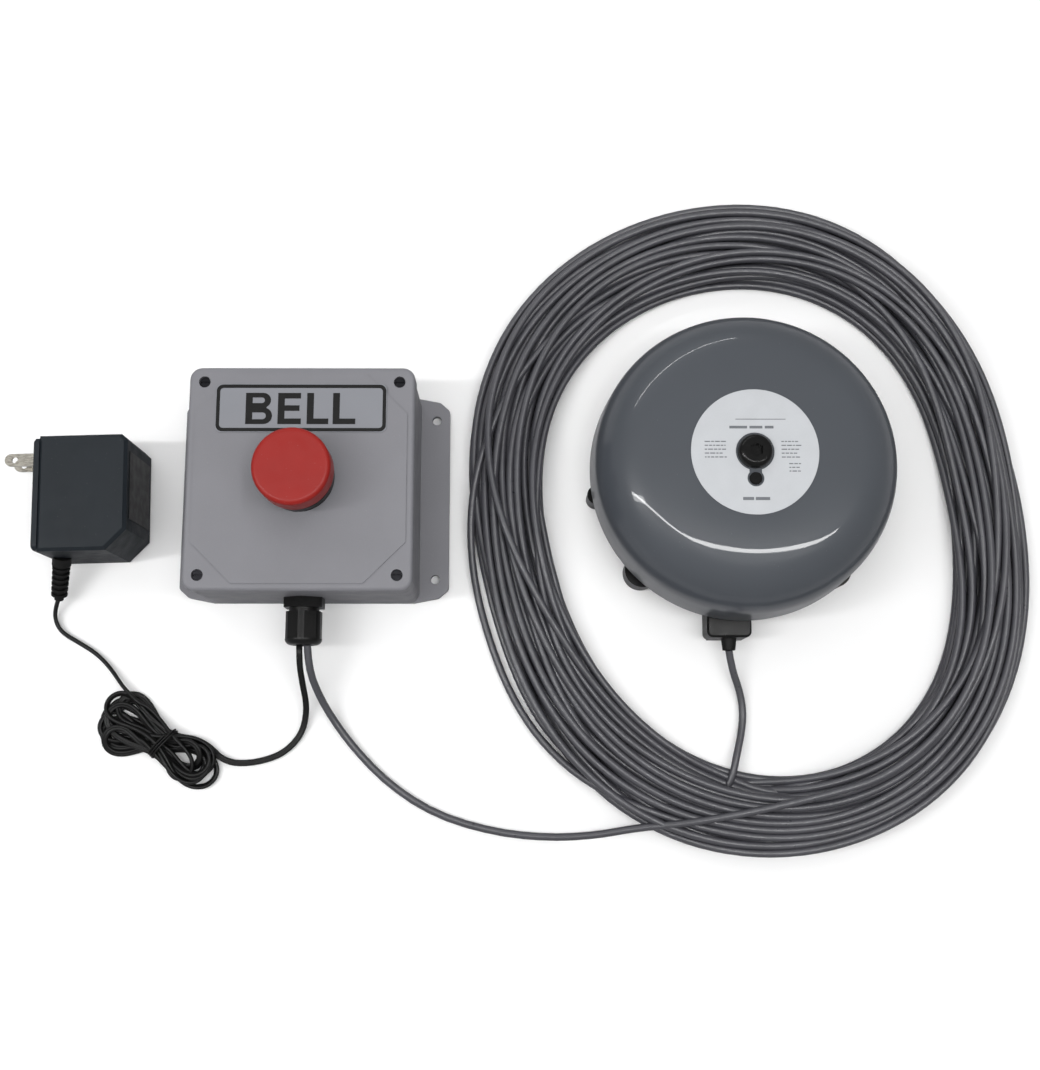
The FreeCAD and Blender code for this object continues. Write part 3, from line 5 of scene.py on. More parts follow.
import bmesh
import bpy
import numpy as np
from mathutils import Matrix, Vector
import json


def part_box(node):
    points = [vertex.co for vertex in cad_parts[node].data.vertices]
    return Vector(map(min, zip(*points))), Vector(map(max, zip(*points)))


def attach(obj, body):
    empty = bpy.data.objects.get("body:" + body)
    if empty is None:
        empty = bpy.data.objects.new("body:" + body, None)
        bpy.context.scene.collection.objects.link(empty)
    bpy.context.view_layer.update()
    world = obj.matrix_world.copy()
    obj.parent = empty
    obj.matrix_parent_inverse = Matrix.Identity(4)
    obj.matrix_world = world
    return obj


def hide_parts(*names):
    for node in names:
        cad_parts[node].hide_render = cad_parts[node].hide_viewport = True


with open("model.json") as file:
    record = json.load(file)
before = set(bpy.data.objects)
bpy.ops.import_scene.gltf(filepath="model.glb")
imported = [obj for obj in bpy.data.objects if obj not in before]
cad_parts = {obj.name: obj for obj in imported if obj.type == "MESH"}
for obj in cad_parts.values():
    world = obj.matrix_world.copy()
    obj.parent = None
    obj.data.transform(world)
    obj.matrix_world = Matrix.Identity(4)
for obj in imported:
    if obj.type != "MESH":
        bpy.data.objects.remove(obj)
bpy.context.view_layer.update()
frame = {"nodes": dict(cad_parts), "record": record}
NODES = frame["nodes"]
SLOT_OF = {part["node"]: part["material_slot"] for part in frame["record"]["subparts"]}
MM = 0.001


def add_object(name, data):
    made = bpy.data.objects.new(name, data)
    bpy.context.scene.collection.objects.link(made)
    return made


# ---------------------------------------------------------------- camera

CAMERA_PLACE = (0.0326, -0.1347, 0.6682)
CAMERA_TILT = (0.1675, -0.0051, 0.0)
CAMERA_LENS = 43.49


def add_camera():
    data = bpy.data.cameras.new("camera")
    data.lens = CAMERA_LENS
    data.sensor_width = 36
    data.clip_start, data.clip_end = 0.01, 20
    camera = add_object("camera", data)
    camera.location = CAMERA_PLACE
    camera.rotation_euler = CAMERA_TILT
    bpy.context.scene.camera = camera


add_camera()


# ---------------------------------------------------------------- bell cable

CABLE = 3.8
CABLE_STATION_ROUTE = (
    (-70, -81.5, 24),
    (-69.6, -92, 21.5),
    (-66.5, -103.5, 12.5),
    (-60, -116.5, 4),
    (-48, -132.5, 2.2),
    (-30, -150.5, 2),
    (-6, -165.5, 2),
    (24, -174, 2.1),
    (51, -176.5, 3),
    (74, -175, 7),
)
CABLE_BELL_ROUTE = (
    (142, -83, 12),
    (143.6, -92, 9),
    (148, -102, 4),
    (150.2, -113.5, 2.1),
    (148.6, -125, 2.8),
    (145.6, -135.5, 5.6),
    (143.4, -145.5, 5.6),
    (139.4, -154.5, 3.2),
    (131, -159, 2.2),
)
# The middle of the coil, and its outer and inner outline as the cable's own outermost edges.
COIL_CENTRE = (150, -15)
COIL_OUTSIDE = (
    (10, -10), (24, 80), (75, 138), (145, 160), (215, 143), (274, 86), (297, -10),
    (299, -62), (284, -114), (236, -160), (158, -188), (82, -160), (26, -80),
)
COIL_INSIDE = (
    (48, 0), (63, 62), (100, 99), (150, 112), (210, 98), (246, 52), (260, -20),
    (258, -75), (230, -121), (160, -147), (100, -119), (59, -58),
)
COIL_TURNS = 34
TURN_STEPS = 48
COIL_START_DEG = 250.5
COIL_END_DEG = 258
# Where the lead from the station lies on the coil: radius about the middle, and height.
COIL_START = (
    (165.5, 10.2), (157.5, 13.6), (151, 15.4), (147, 15.8), (145, 15.8), (145.2, 15.8), (147, 15.6),
)
COIL_LAST_RADIUS = 145.6
COIL_PILE = 12.5
# The middle of the one loose turn, how far it stands off the outside, and in which direction, in degrees.
STRAY_TURN, STRAY_GAP = 7.88, 6.6
STRAY_DEG, STRAY_REACH = 207, 34
# Where the bell's lead crosses the coil, in degrees; turns outside this radius lie at least so high there.
GATE_FROM, GATE_TO = 261, 277
GATE_RADIUS, GATE_HEIGHT = 138.5, 6.4
# Where the station's lead comes in over the other turns, in degrees, and how high these may lie there.
BENEATH_FROM, BENEATH_TO, BENEATH_HEIGHT = 256, 304, 12
# How many times the turns are moved apart, and when they stop being drawn to their lanes as strongly.
COIL_ROUNDS, COIL_FADE = 1100, 300


def polar_fit(outline, waves=4):
    """A smooth closed outline as radius by angle, fitted to its points."""
    offsets = np.array(outline, float) - COIL_CENTRE
    angles = np.arctan2(offsets[:, 1], offsets[:, 0])
    radii = np.hypot(offsets[:, 0], offsets[:, 1])

    def basis(at):
        waves_at = [np.ones_like(at)]
        for k in range(1, waves + 1):
            waves_at += [np.cos(k * at), np.sin(k * at)]
        return np.stack(waves_at, axis=-1)

    weights = np.linalg.lstsq(basis(angles), radii, rcond=None)[0]
    return lambda at: basis(at) @ weights


def smooth_noise(rng, count, step):
    """A smooth random line of values from -1 to 1 with a new value about every step places."""
    knots = int(count / step) + 4
    values = (rng.permutation(knots) + 0.5) / knots * 2 - 1
    at = np.arange(count) / step + 1
    i = at.astype(int)
    t = at - i
    t = t * t * (3 - 2 * t)
    return values[i] * (1 - t) + values[i + 1] * t


def stiffen(line, share):
    """Pulls each point of a line towards the smooth curve through its neighbours."""
    bend = line[:-4] - 4 * line[1:-3] + 6 * line[2:-2] - 4 * line[3:-1] + line[4:]
    line[2:-2] -= share * bend


def part_turns(across, height, gap):
    """How far each turn moves to stop lying in the others, at every step round the coil."""
    du = across[:, :, None] - across[:, None, :]
    dz = height[:, :, None] - height[:, None, :]
    apart = np.sqrt(du * du + dz * dz) + 1e-9
    push = np.clip(gap - apart, 0, None)
    push[:, np.arange(across.shape[1]), np.arange(across.shape[1])] = 0
    share = 0.45 * push / apart
    return (share * du).sum(2), (share * dz).sum(2)


def coil_points():
    """The coil's turns in the order of the cable, settled beside and on each other."""
    rng = np.random.default_rng(11)
    outside, inside = polar_fit(COIL_OUTSIDE), polar_fit(COIL_INSIDE)
    degrees_round = 360 * COIL_TURNS + COIL_END_DEG - COIL_START_DEG
    count = int(round(degrees_round / 360 * TURN_STEPS))
    angle = np.radians(COIL_START_DEG) + np.arange(count) * 2 * math.pi / TURN_STEPS
    middle = (outside(angle) + inside(angle)) / 2
    half = (outside(angle) - inside(angle)) / 2 - CABLE / 2
    turn = np.arange(count) / TURN_STEPS

    # the place across the ring that each stretch of cable was laid at
    lane = 0.62 * smooth_noise(rng, count, 40) + 0.45 * smooth_noise(rng, count, 110)
    lane = np.clip(lane + 0.04 * smooth_noise(rng, count, 12), -0.98, 0.98)
    last = np.clip((turn - (turn[-1] - 0.8)) / 0.5, 0, 1)
    # the loose stretch that stands off the outside at the lower left
    degrees = np.degrees(angle) % 360
    loose = np.exp(-(((degrees - STRAY_DEG) / STRAY_REACH) ** 4))
    target = lane * half
    stray = np.abs(turn - STRAY_TURN) < 0.5
    limit = np.where(stray, half + STRAY_GAP * loose, half)
    hold = np.where(stray, loose**0.2, 0)
    target += hold * (limit - target)
    target = target * (1 - last) + (COIL_LAST_RADIUS - middle) * last

    across = target.copy()
    height = CABLE / 2 + COIL_PILE * (1 - turn / turn[-1]) + 0.6 * smooth_noise(rng, count, 20)
    low = CABLE / 2 + 0.1
    pinned = np.arange(len(COIL_START))
    pin_across = np.array([r for r, _ in COIL_START]) - middle[pinned]
    pin_height = np.array([z for _, z in COIL_START])
    # the bell's lead goes over the innermost turns and under all the others here
    gate = (degrees > GATE_FROM) & (degrees < GATE_TO) & (turn > 0.5)
    gate_across = GATE_RADIUS - middle
    # the others keep below the lead from the station where it comes in over them
    beneath = (degrees > BENEATH_FROM) & (degrees < BENEATH_TO) & (turn > 0.5)
    spare = -count % TURN_STEPS
    turns = (count + spare) // TURN_STEPS
    pull = 0.12
    # the loose stretch is drawn to its place all the time, the others to their lanes less and less
    for k in range(COIL_ROUNDS):
        if k > COIL_FADE:
            pull *= 0.985
        across += np.maximum(pull, 0.35 * hold) * (target - across)
        height -= 0.035 + 0.1 * hold
        for _ in range(3):
            stiffen(across, 0.09)
            stiffen(height, 0.09)
        u = np.concatenate([across, np.full(spare, 999.0)]).reshape(turns, TURN_STEPS).T
        z = np.concatenate([height, 1e3 + 9.0 * np.arange(spare)]).reshape(turns, TURN_STEPS).T
        move_u, move_z = part_turns(u, z, CABLE)
        across += move_u.T.ravel()[:count]
        height += move_z.T.ravel()[:count]
        across = np.clip(across, -half, limit)
        height = np.maximum(height, low)
        inner = gate & (across < gate_across)
        height = np.where(inner, np.minimum(height, low + 0.4), height)
        height = np.where(gate & ~inner, np.maximum(height, GATE_HEIGHT), height)
        height = np.where(last >= 1, low, height)
        height = np.where(beneath, np.minimum(height, BENEATH_HEIGHT), height)
        across[pinned], height[pinned] = pin_across, pin_height
    radius = middle + across
    return np.stack(
        [COIL_CENTRE[0] + radius * np.cos(angle), COIL_CENTRE[1] + radius * np.sin(angle), height],
        axis=1,
    )


def spline_object(name, points_mm, diameter_mm, resolution, sides):
    """One open NURBS spline with these control points, as thick as the cord."""
    curve = bpy.data.curves.new(name, "CURVE")
    curve.dimensions = "3D"
    curve.resolution_u = resolution
    curve.bevel_depth = diameter_mm * MM / 2
    curve.bevel_resolution = sides
    curve.use_fill_caps = True
    spline = curve.splines.new("NURBS")
    spline.points.add(len(points_mm) - 1)
    flat = [c for p in points_mm for c in (p[0] * MM, p[1] * MM, p[2] * MM, 1.0)]
    spline.points.foreach_set("co", flat)
    spline.order_u = 3
    spline.use_endpoint_u = True
    return add_object(name, curve)


def spline_line(points_mm, resolution):
    """Points along the smooth NURBS curve that has these control points, in metres."""
    guide = spline_object("guide", points_mm, 0, resolution, 0)
    mesh = bpy.data.meshes.new_from_object(guide)
    line = np.array([v.co for v in mesh.vertices], float)
    curve = guide.data
    bpy.data.objects.remove(guide)
    bpy.data.curves.remove(curve)
    bpy.data.meshes.remove(mesh)
    return line


def mesh_object(name, vertices, faces):
    mesh = bpy.data.meshes.new(name)
    mesh.from_pydata([tuple(float(c) for c in v) for v in vertices], [], faces)
    mesh.validate()
    mesh.polygons.foreach_set("use_smooth", [True] * len(mesh.polygons))
    mesh.update()
    return add_object(name, mesh)


def sweep(name, line, section, roll):
    """A closed tube whose section, a list of points across it, follows the line and rolls as it goes."""
    steps = np.diff(line, axis=0)
    steps /= np.linalg.norm(steps, axis=1)[:, None]
    along = np.concatenate([steps[:1], steps[:-1] + steps[1:], steps[-1:]])
    along /= np.linalg.norm(along, axis=1)[:, None]
    side = np.cross(along[0], (0, 0, 1))
    side /= np.linalg.norm(side)
    rings = []
    for i, (point, way) in enumerate(zip(line, along)):
        side = side - way * (side @ way)
        side /= np.linalg.norm(side)
        up = np.cross(side, way)
        c, n = math.cos(roll[i]), math.sin(roll[i])
        across, over = c * side + n * up, c * up - n * side
        rings.append(point + section[:, :1] * across + section[:, 1:] * over)
    vertices = np.concatenate(rings)
    k = len(section)
    faces = [
        (i * k + j, i * k + (j + 1) % k, (i + 1) * k + (j + 1) % k, (i + 1) * k + j)
        for i in range(len(line) - 1)
        for j in range(k)
    ]
    faces += [tuple(range(k))[::-1], tuple(range(len(vertices) - k, len(vertices)))]
    return mesh_object(name, vertices, faces)


coil = coil_points()
cable_route = [*CABLE_STATION_ROUTE, *coil.tolist(), *reversed(CABLE_BELL_ROUTE)]
bell_cable = spline_object("bell_cable", cable_route, CABLE, 3, 4)


# ---------------------------------------------------------------- supply cord

CORD = 3.2
CORD_STATION_ROUTE = (
    (-74, -81.5, 24),
    (-74.2, -91, 21.5),
    (-73.4, -101, 13),
    (-72.2, -112, 5),
    (-74.6, -124.5, 1.9),
    (-83.5, -134.5, 1.7),
    (-96.5, -139, 1.7),
    (-109, -139.8, 3),
)
CORD_ADAPTER_ROUTE = (
    (-200.4, -55.6, 8),
    (-203.6, -61.4, 4.2),
    (-203.4, -68, 2.2),
    (-199.8, -73.5, 1.7),
    (-190.8, -78.5, 1.7),
    (-181.6, -84, 1.7),
    (-173.6, -91.8, 2.2),
    (-167, -100.6, 4.6),
)
HANK_PLACE = (-146, -127.5)
HANK_TURN = math.radians(-27)
TIE_PLACE = (2.2, -0.9)
TIE_LEAN = math.radians(-17)
# The room inside the tie: half its span and height, half its length along the hank, its middle's height.
TIE_HALF_SPAN, TIE_HALF_HEIGHT = 6.9, 4.3
TIE_HALF_LENGTH, TIE_MIDDLE = 3.2, 5.6
# The tie itself, in the same way, and how often it goes round.
WRAP_HALF_SPAN, WRAP_HALF_HEIGHT, WRAP_MIDDLE = 8.6, 5.0, 5.55
WRAP_TURNS, WRAP_STEPS = 2.4, 60
HANK_GAP = 2.35
# The hank's points are this far apart, and it bends no tighter than this radius.
HANK_STEP, HANK_BEND = 2.95, 7.6
HANK_ROUNDS, HANK_FADE, HANK_KEEPS = 420, 120, 5
HANK_LOW, HANK_HIGH = 1.65, 10
# Each loop of the hank: where its fold ends, and its upper and lower side there, along and across the hank.
RIGHT_FOLDS = (
    (34.6, 4.6, -11.8),
    (29.5, 5.6, -8.5),
    (27.2, 3.6, -10.2),
    (31.2, 6.2, -6.6),
    (25.2, 5.4, -9.4),
    (28.6, 2.4, -12.2),
    (22.6, 4.6, -7),
    (26.6, 6.4, -11.2),
    (30.4, 4.2, -9.8),
    (24.2, 3.2, -11.4),
)
LEFT_FOLDS = (
    (-34.2, 7, 6.2),
    (-28.4, 5.8, 6.6),
    (-33, 2.6, 6.4),
    (-33.8, -2.2, 6.2),
    (-32.6, -5.6, 6.4),
    (-30.6, -8.6, 6.2),
    (-26.4, -8.8, 6.3),
    (-31.4, -0.2, 6.6),
    (-26.6, 3.4, 6.4),
    (-28.6, -6.6, 6.2),
)


def evenly(points, step):
    """A line through these points again, with points about step apart."""
    points = np.array(points, float)
    along = np.concatenate([[0], np.cumsum(np.linalg.norm(np.diff(points, axis=0), axis=1))])
    at = np.linspace(0, along[-1], int(along[-1] / step) + 1)
    return np.stack([np.interp(at, along, points[:, k]) for k in range(3)], axis=1)


def keep_length(line, step, bend):
    """Moves points so that they stay a step apart and the line bends no tighter than this radius."""
    run = np.diff(line, axis=0)
    move = 0.25 * (1 - step / (np.linalg.norm(run, axis=1)[:, None] + 1e-9)) * run
    line[:-1] += move
    line[1:] -= move
    for reach in (2, 4):
        span = 2 * bend * math.sin(reach * step / (2 * bend))
        across = line[reach:] - line[:-reach]
        apart = np.linalg.norm(across, axis=1)[:, None] + 1e-9
        move = 0.25 * np.clip(span / apart - 1, 0, 0.5) * across
        line[reach:] += move
        line[:-reach] -= move


def hank_points():
    """The hank's loops in the order of the cord, drawn in at the tie and settled on each other."""
    rng = np.random.default_rng(5)
    rows = (1.6, 3.8, 6, 8.2)
    seats = [(y, z) for z in rows for y in (-5.6, -2.9, -0.2, 2.5, 5.2)]
    order = rng.permutation(len(seats))
    anchors = []
    for i, (right, left) in enumerate(zip(RIGHT_FOLDS, LEFT_FOLDS)):
        end, top, low = right
        tip, tip_y, spread = left
        up, down = seats[order[2 * i]], seats[order[2 * i + 1]]
        rise = 1.6 + 7 * rng.random()
        lie = 1.6 + 6.5 * rng.random()
        middle = (top + low) / 2
        wide = (top - low) / 2
        anchors += [
            (TIE_PLACE[0], TIE_PLACE[1] + up[0] * 0.9, up[1]),
            (-9, tip_y * 0.45 + 1.5, (up[1] + lie) / 2),
            (tip + 0.9 * spread, tip_y + spread, lie),
            (tip + 0.3 * spread, tip_y + 0.75 * spread, lie),
            (tip, tip_y, lie),
            (tip + 0.3 * spread, tip_y - 0.75 * spread, lie),
            (tip + 0.9 * spread, tip_y - spread, lie),
            (-9, tip_y * 0.45 - 1, (down[1] + lie) / 2),
            (TIE_PLACE[0], TIE_PLACE[1] + down[0] * 0.9, down[1]),
            (10, low * 0.75 - 0.6, (down[1] + rise) / 2),
            (end - wide, low, rise),
            (end - 0.3 * wide, middle - 0.75 * wide, rise),
            (end, middle, rise),
            (end - 0.3 * wide, middle + 0.75 * wide, rise),
            (end - wide, top, rise),
            (10, top * 0.85 + 0.6, (up[1] + rise) / 2),
        ]
    start = [(30.5, 5.6, 3.4), (24, 7.2, 4), (12, 6.4, 6)]
    finish = [(TIE_PLACE[0], 3.2, 8), (-9, 7.6, 7.4), (-19, 10.8, 6)]
    wish = evenly(start + anchors + finish, 1.05 * HANK_STEP)
    line = wish.copy()
    count = len(line)
    near = np.abs(np.arange(count)[:, None] - np.arange(count)[None, :]) < 3
    lean = np.array([math.cos(TIE_LEAN), math.sin(TIE_LEAN)])
    pull = 0.15
    for k in range(HANK_ROUNDS):
        if k > HANK_FADE:
            pull *= 0.98
        line += pull * (wish - line)
        line[:, 2] -= 0.03
        gaps = line[:, None, :] - line[None, :, :]
        apart = np.sqrt((gaps * gaps).sum(2)) + 1e-9
        push = np.clip(HANK_GAP - apart, 0, None)
        push[near] = 0
        line += ((0.4 * push / apart)[:, :, None] * gaps).sum(1)
        off = line[:, :2] - TIE_PLACE
        along, across = off @ lean, off @ np.array([-lean[1], lean[0]])
        held = np.abs(along) < TIE_HALF_LENGTH
        over = (across / TIE_HALF_SPAN) ** 2 + ((line[:, 2] - TIE_MIDDLE) / TIE_HALF_HEIGHT) ** 2
        shrink = np.where(held & (over > 1), 1 / np.sqrt(np.maximum(over, 1)), 1)
        away = across * (shrink - 1)
        line[:, 0] += away * -lean[1]
        line[:, 1] += away * lean[0]
        line[:, 2] = np.where(held, TIE_MIDDLE + (line[:, 2] - TIE_MIDDLE) * shrink, line[:, 2])
        for _ in range(HANK_KEEPS):
            stiffen(line, 0.08)
            keep_length(line, HANK_STEP, HANK_BEND)
            line[:, 2] = np.clip(line[:, 2], HANK_LOW, HANK_HIGH)
            line[0], line[-1] = wish[0], wish[-1]
    cos, sin = math.cos(HANK_TURN), math.sin(HANK_TURN)
    placed = line.copy()
    placed[:, :2] = line[:, :2] @ np.array([[cos, sin], [-sin, cos]]) + HANK_PLACE
    return placed


def twin_section(width, core, count=20):
    """Section of a flat twin cord: two round cores side by side, joined."""
    apart = width / 2 - core
    points = []
    for k in range(count):
        a = 2 * math.pi * k / count
        reach = apart * abs(math.cos(a)) + math.sqrt(core**2 - (apart * math.sin(a)) ** 2)
        points.append((reach * math.cos(a) * MM, reach * math.sin(a) * MM))
    return np.array(points)


hank = hank_points()
cord_route = [*CORD_STATION_ROUTE, *hank.tolist(), *reversed(CORD_ADAPTER_ROUTE)]
cord_line = spline_line(cord_route, 4)
cord_roll = 1.1 * smooth_noise(np.random.default_rng(3), len(cord_line), 60)
supply_cord = sweep("supply_cord", cord_line, twin_section(CORD, 0.95), cord_roll)


def tie_wrap():
    """A thin flat tie wound a little over twice round the hank's waist."""
    lean = HANK_TURN + TIE_LEAN
    cos, sin = math.cos(HANK_TURN), math.sin(HANK_TURN)
    x = HANK_PLACE[0] + TIE_PLACE[0] * cos - TIE_PLACE[1] * sin
    y = HANK_PLACE[1] + TIE_PLACE[0] * sin + TIE_PLACE[1] * cos
    route = []
    for k in range(WRAP_STEPS + 1):
        a = math.radians(60) + WRAP_TURNS * 2 * math.pi * k / WRAP_STEPS
        along = -1.5 + 3 * k / WRAP_STEPS
        across, up = WRAP_HALF_SPAN * math.cos(a), WRAP_MIDDLE + WRAP_HALF_HEIGHT * math.sin(a)
        route.append((
            x + along * math.cos(lean) - across * math.sin(lean),
            y + along * math.sin(lean) + across * math.cos(lean),
            max(up, 0.55),
        ))
    line = spline_line(route, 4)
    flat = twin_section(1.5, 0.42, 12)
    return sweep("tie_wrap", line, flat, np.full(len(line), math.pi / 2))


tie = tie_wrap()


# ---------------------------------------------------------------- gong

GONG_WALL = 2
GONG_HOLE = 3.2
CROWN_RADIUS, CROWN_DEG = 120, 10
SHOULDER_RADIUS, SKIRT_DEG = 27, 86
PIN_OFFSET, PIN_HOLE = 13, 3.1
RIM_ROUND = 0.85
GONG_STEPS = 200


def gong_side(radius, top, rim, inset):
    """Radius and height down one side of the gong: flat crown, shallow arc, shoulder and skirt."""
    bend, skirt = math.radians(CROWN_DEG), math.radians(SKIRT_DEG)
    shoulder_across = SHOULDER_RADIUS * (math.sin(skirt) - math.sin(bend))
    shoulder_drop = SHOULDER_RADIUS * (math.cos(bend) - math.cos(skirt))
    crown_drop = CROWN_RADIUS * (1 - math.cos(bend))
    upright = (top - crown_drop - shoulder_drop - rim) / math.tan(skirt)
    flat = radius - upright - shoulder_across - CROWN_RADIUS * math.sin(bend)
    side = [(GONG_HOLE, top - inset), (flat * 0.6, top - inset)]
    for a in np.linspace(0, bend, 14):
        reach = CROWN_RADIUS - inset
        side.append((flat + reach * math.sin(a), top - CROWN_RADIUS + reach * math.cos(a)))
    x = flat + (CROWN_RADIUS - SHOULDER_RADIUS) * math.sin(bend)
    z = top - CROWN_RADIUS + (CROWN_RADIUS - SHOULDER_RADIUS) * math.cos(bend)
    for a in np.linspace(bend, skirt, 30)[1:]:
        reach = SHOULDER_RADIUS - inset
        side.append((x + reach * math.sin(a), z + reach * math.cos(a)))
    return side


def gong_outline(radius, top, rim):
    outer = gong_side(radius, top, rim, 0)
    inner = gong_side(radius, top, rim, GONG_WALL)
    foot = radius - GONG_WALL / 2
    rounding = [
        (foot + RIM_ROUND * math.cos(a) + 0.1, rim + RIM_ROUND + RIM_ROUND * math.sin(a))
        for a in np.linspace(0, -math.pi, 9)
    ]
    return outer + rounding + inner[::-1]


def turned(name, outline, centre):
    """A solid turned about an upright axis from a closed outline of radius and height."""
    angles = np.linspace(0, 2 * math.pi, GONG_STEPS, endpoint=False)
    shape = bmesh.new()
    rings = [
        [
            shape.verts.new((centre.x + r * MM * math.cos(a), centre.y + r * MM * math.sin(a), z * MM))
            for a in angles
        ]
        for r, z in outline
    ]
    for ring, following in zip(rings, rings[1:] + rings[:1]):
        for j in range(GONG_STEPS):
            k = (j + 1) % GONG_STEPS
            shape.faces.new((ring[j], ring[k], following[k], following[j]))
    bmesh.ops.recalc_face_normals(shape, faces=shape.faces)
    mesh = bpy.data.meshes.new(name)
    shape.to_mesh(mesh)
    shape.free()
    return add_object(name, mesh)


def drill(piece, place, radius, depth):
    """Cuts an upright round hole through a piece."""
    bpy.ops.mesh.primitive_cylinder_add(vertices=48, radius=radius * MM, depth=depth * MM, location=place)
    tool = bpy.context.object
    cut = piece.modifiers.new("hole", "BOOLEAN")
    cut.operation, cut.object = "DIFFERENCE", tool
    bpy.context.view_layer.update()
    drilled = bpy.data.meshes.new_from_object(piece.evaluated_get(bpy.context.evaluated_depsgraph_get()))
    piece.modifiers.clear()
    piece.data = drilled
    bpy.data.objects.remove(tool)


def gong_shell():
    low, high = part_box("gong")
    centre = (low + high) / 2
    outline = gong_outline((high.x - low.x) / 2 / MM, high.z / MM, low.z / MM)
    shell = turned("gong_shell", outline, centre)
    drill(shell, (centre.x, centre.y - PIN_OFFSET * MM, high.z), PIN_HOLE, 8)
    shell.data.polygons.foreach_set("use_smooth", [True] * len(shell.data.polygons))
    shell.data.set_sharp_from_angle(angle=math.radians(40))
    return shell


gong = gong_shell()


# ---------------------------------------------------------------- materials

# The studio light on an upward face, against full white, and what its gloss adds of the light above.
STUDIO_LIGHT = 1.52
STUDIO_GLOSS = 0.02
DARKEST = 0.003


def linear(r, g, b):
    """A colour given as it looks on a screen, 0 to 255."""
    light = [c / 255 / 12.92 if c < 11 else ((c / 255 + 0.055) / 1.055) ** 2.4 for c in (r, g, b)]
    return tuple(light) + (1,)


def lit(r, g, b):
    """The base colour that looks like this in the studio light."""
    return tuple(max(DARKEST, (c - STUDIO_GLOSS) / STUDIO_LIGHT) for c in linear(r, g, b)[:3]) + (1,)


class Finish:
    """A procedural material: colour, roughness and relief all vary over the surface."""

    def __init__(self, name, **sockets):
        self.material = bpy.data.materials.new(name)
        self.material.use_nodes = True
        self.tree = self.material.node_tree
        self.shader = self.tree.nodes["Principled BSDF"]
        self.place = self.tree.nodes.new("ShaderNodeTexCoord").outputs["Object"]
        self.relief = None
        for key, value in sockets.items():
            self.shader.inputs[key.replace("_", " ")].default_value = value

    def node(self, kind, **settings):
        made = self.tree.nodes.new(kind)
        for key, value in settings.items():
            setattr(made, key, value)
        return made

    def link(self, a, b):
        self.tree.links.new(a, b)

    def stretched(self, scale):
        if scale is None:
            return self.place
        mapping = self.node("ShaderNodeMapping")
        mapping.inputs["Scale"].default_value = scale
        self.link(self.place, mapping.inputs["Vector"])
        return mapping.outputs["Vector"]

    def noise(self, size_mm, detail=3.0, stretch=None, roughness=0.5):
        made = self.node("ShaderNodeTexNoise")
        made.inputs["Scale"].default_value = 1000 / size_mm
        made.inputs["Detail"].default_value = detail
        made.inputs["Roughness"].default_value = roughness
        self.link(self.stretched(stretch), made.inputs["Vector"])
        return made.outputs["Fac"]

    def cells(self, size_mm):
        made = self.node("ShaderNodeTexVoronoi")
        made.inputs["Scale"].default_value = 1000 / size_mm
        self.link(self.place, made.inputs["Vector"])
        return made.outputs["Distance"]

    def ramp(self, value, *stops):
        made = self.node("ShaderNodeValToRGB")
        elements = made.color_ramp.elements
        while len(elements) < len(stops):
            elements.new(0.5)
        for element, (at, colour) in zip(elements, stops):
            element.position = at
            element.color = colour
        self.link(value, made.inputs["Fac"])
        return made.outputs["Color"]

    def range(self, value, low, high, start=0.3, end=0.7):
        made = self.node("ShaderNodeMapRange")
        for key, number in (("From Min", start), ("From Max", end), ("To Min", low), ("To Max", high)):
            made.inputs[key].default_value = number
        self.link(value, made.inputs["Value"])
        return made.outputs["Result"]

    def mix(self, share, a, b):
        made = self.node("ShaderNodeMix", data_type="RGBA")
        self.link(share, made.inputs["Factor"])
        for value, socket in ((a, made.inputs["A"]), (b, made.inputs["B"])):
            if isinstance(value, tuple):
                socket.default_value = value
            else:
                self.link(value, socket)
        return made.outputs["Result"]

    def colour(self, value):
        self.link(value, self.shader.inputs["Base Color"])

    def rough(self, value):
        self.link(value, self.shader.inputs["Roughness"])

    def bump(self, value, depth_mm):
        made = self.node("ShaderNodeBump")
        made.inputs["Distance"].default_value = depth_mm * MM
        self.link(value, made.inputs["Height"])
        if self.relief is not None:
            self.link(self.relief, made.inputs["Normal"])
        self.relief = made.outputs["Normal"]
        self.link(self.relief, self.shader.inputs["Normal"])


def shade(colour, factor):
    return tuple(min(1.0, c * factor) for c in colour[:3]) + (1,)


def moulded(
    name, colour, rough, grain_mm=0.5, depth_mm=0.02, patch_mm=22, spread=0.07, dust=0.0, **sockets
):
    """Moulded or painted plastic: fine grain, faint mottling and a little dust."""
    f = Finish(name, **{"Specular_IOR_Level": 0.3, **sockets})
    base = f.ramp(
        f.noise(patch_mm, 5),
        (0.3, shade(colour, 1 - spread)),
        (0.52, colour),
        (0.72, shade(colour, 1 + spread)),
    )
    grain = f.noise(grain_mm, 2)
    tone = f.mix(f.range(grain, 0.0, 0.35, 0.35, 0.75), base, shade(colour, 1 + 2.2 * spread))
    if dust:
        specks = f.range(f.cells(3.1), dust, 0.0, 0.035, 0.09)
        tone = f.mix(specks, tone, lit(205, 203, 198))
    f.colour(tone)
    f.rough(f.range(f.noise(patch_mm * 0.35, 4), rough - 0.06, rough + 0.07))
    f.bump(grain, depth_mm)
    return f


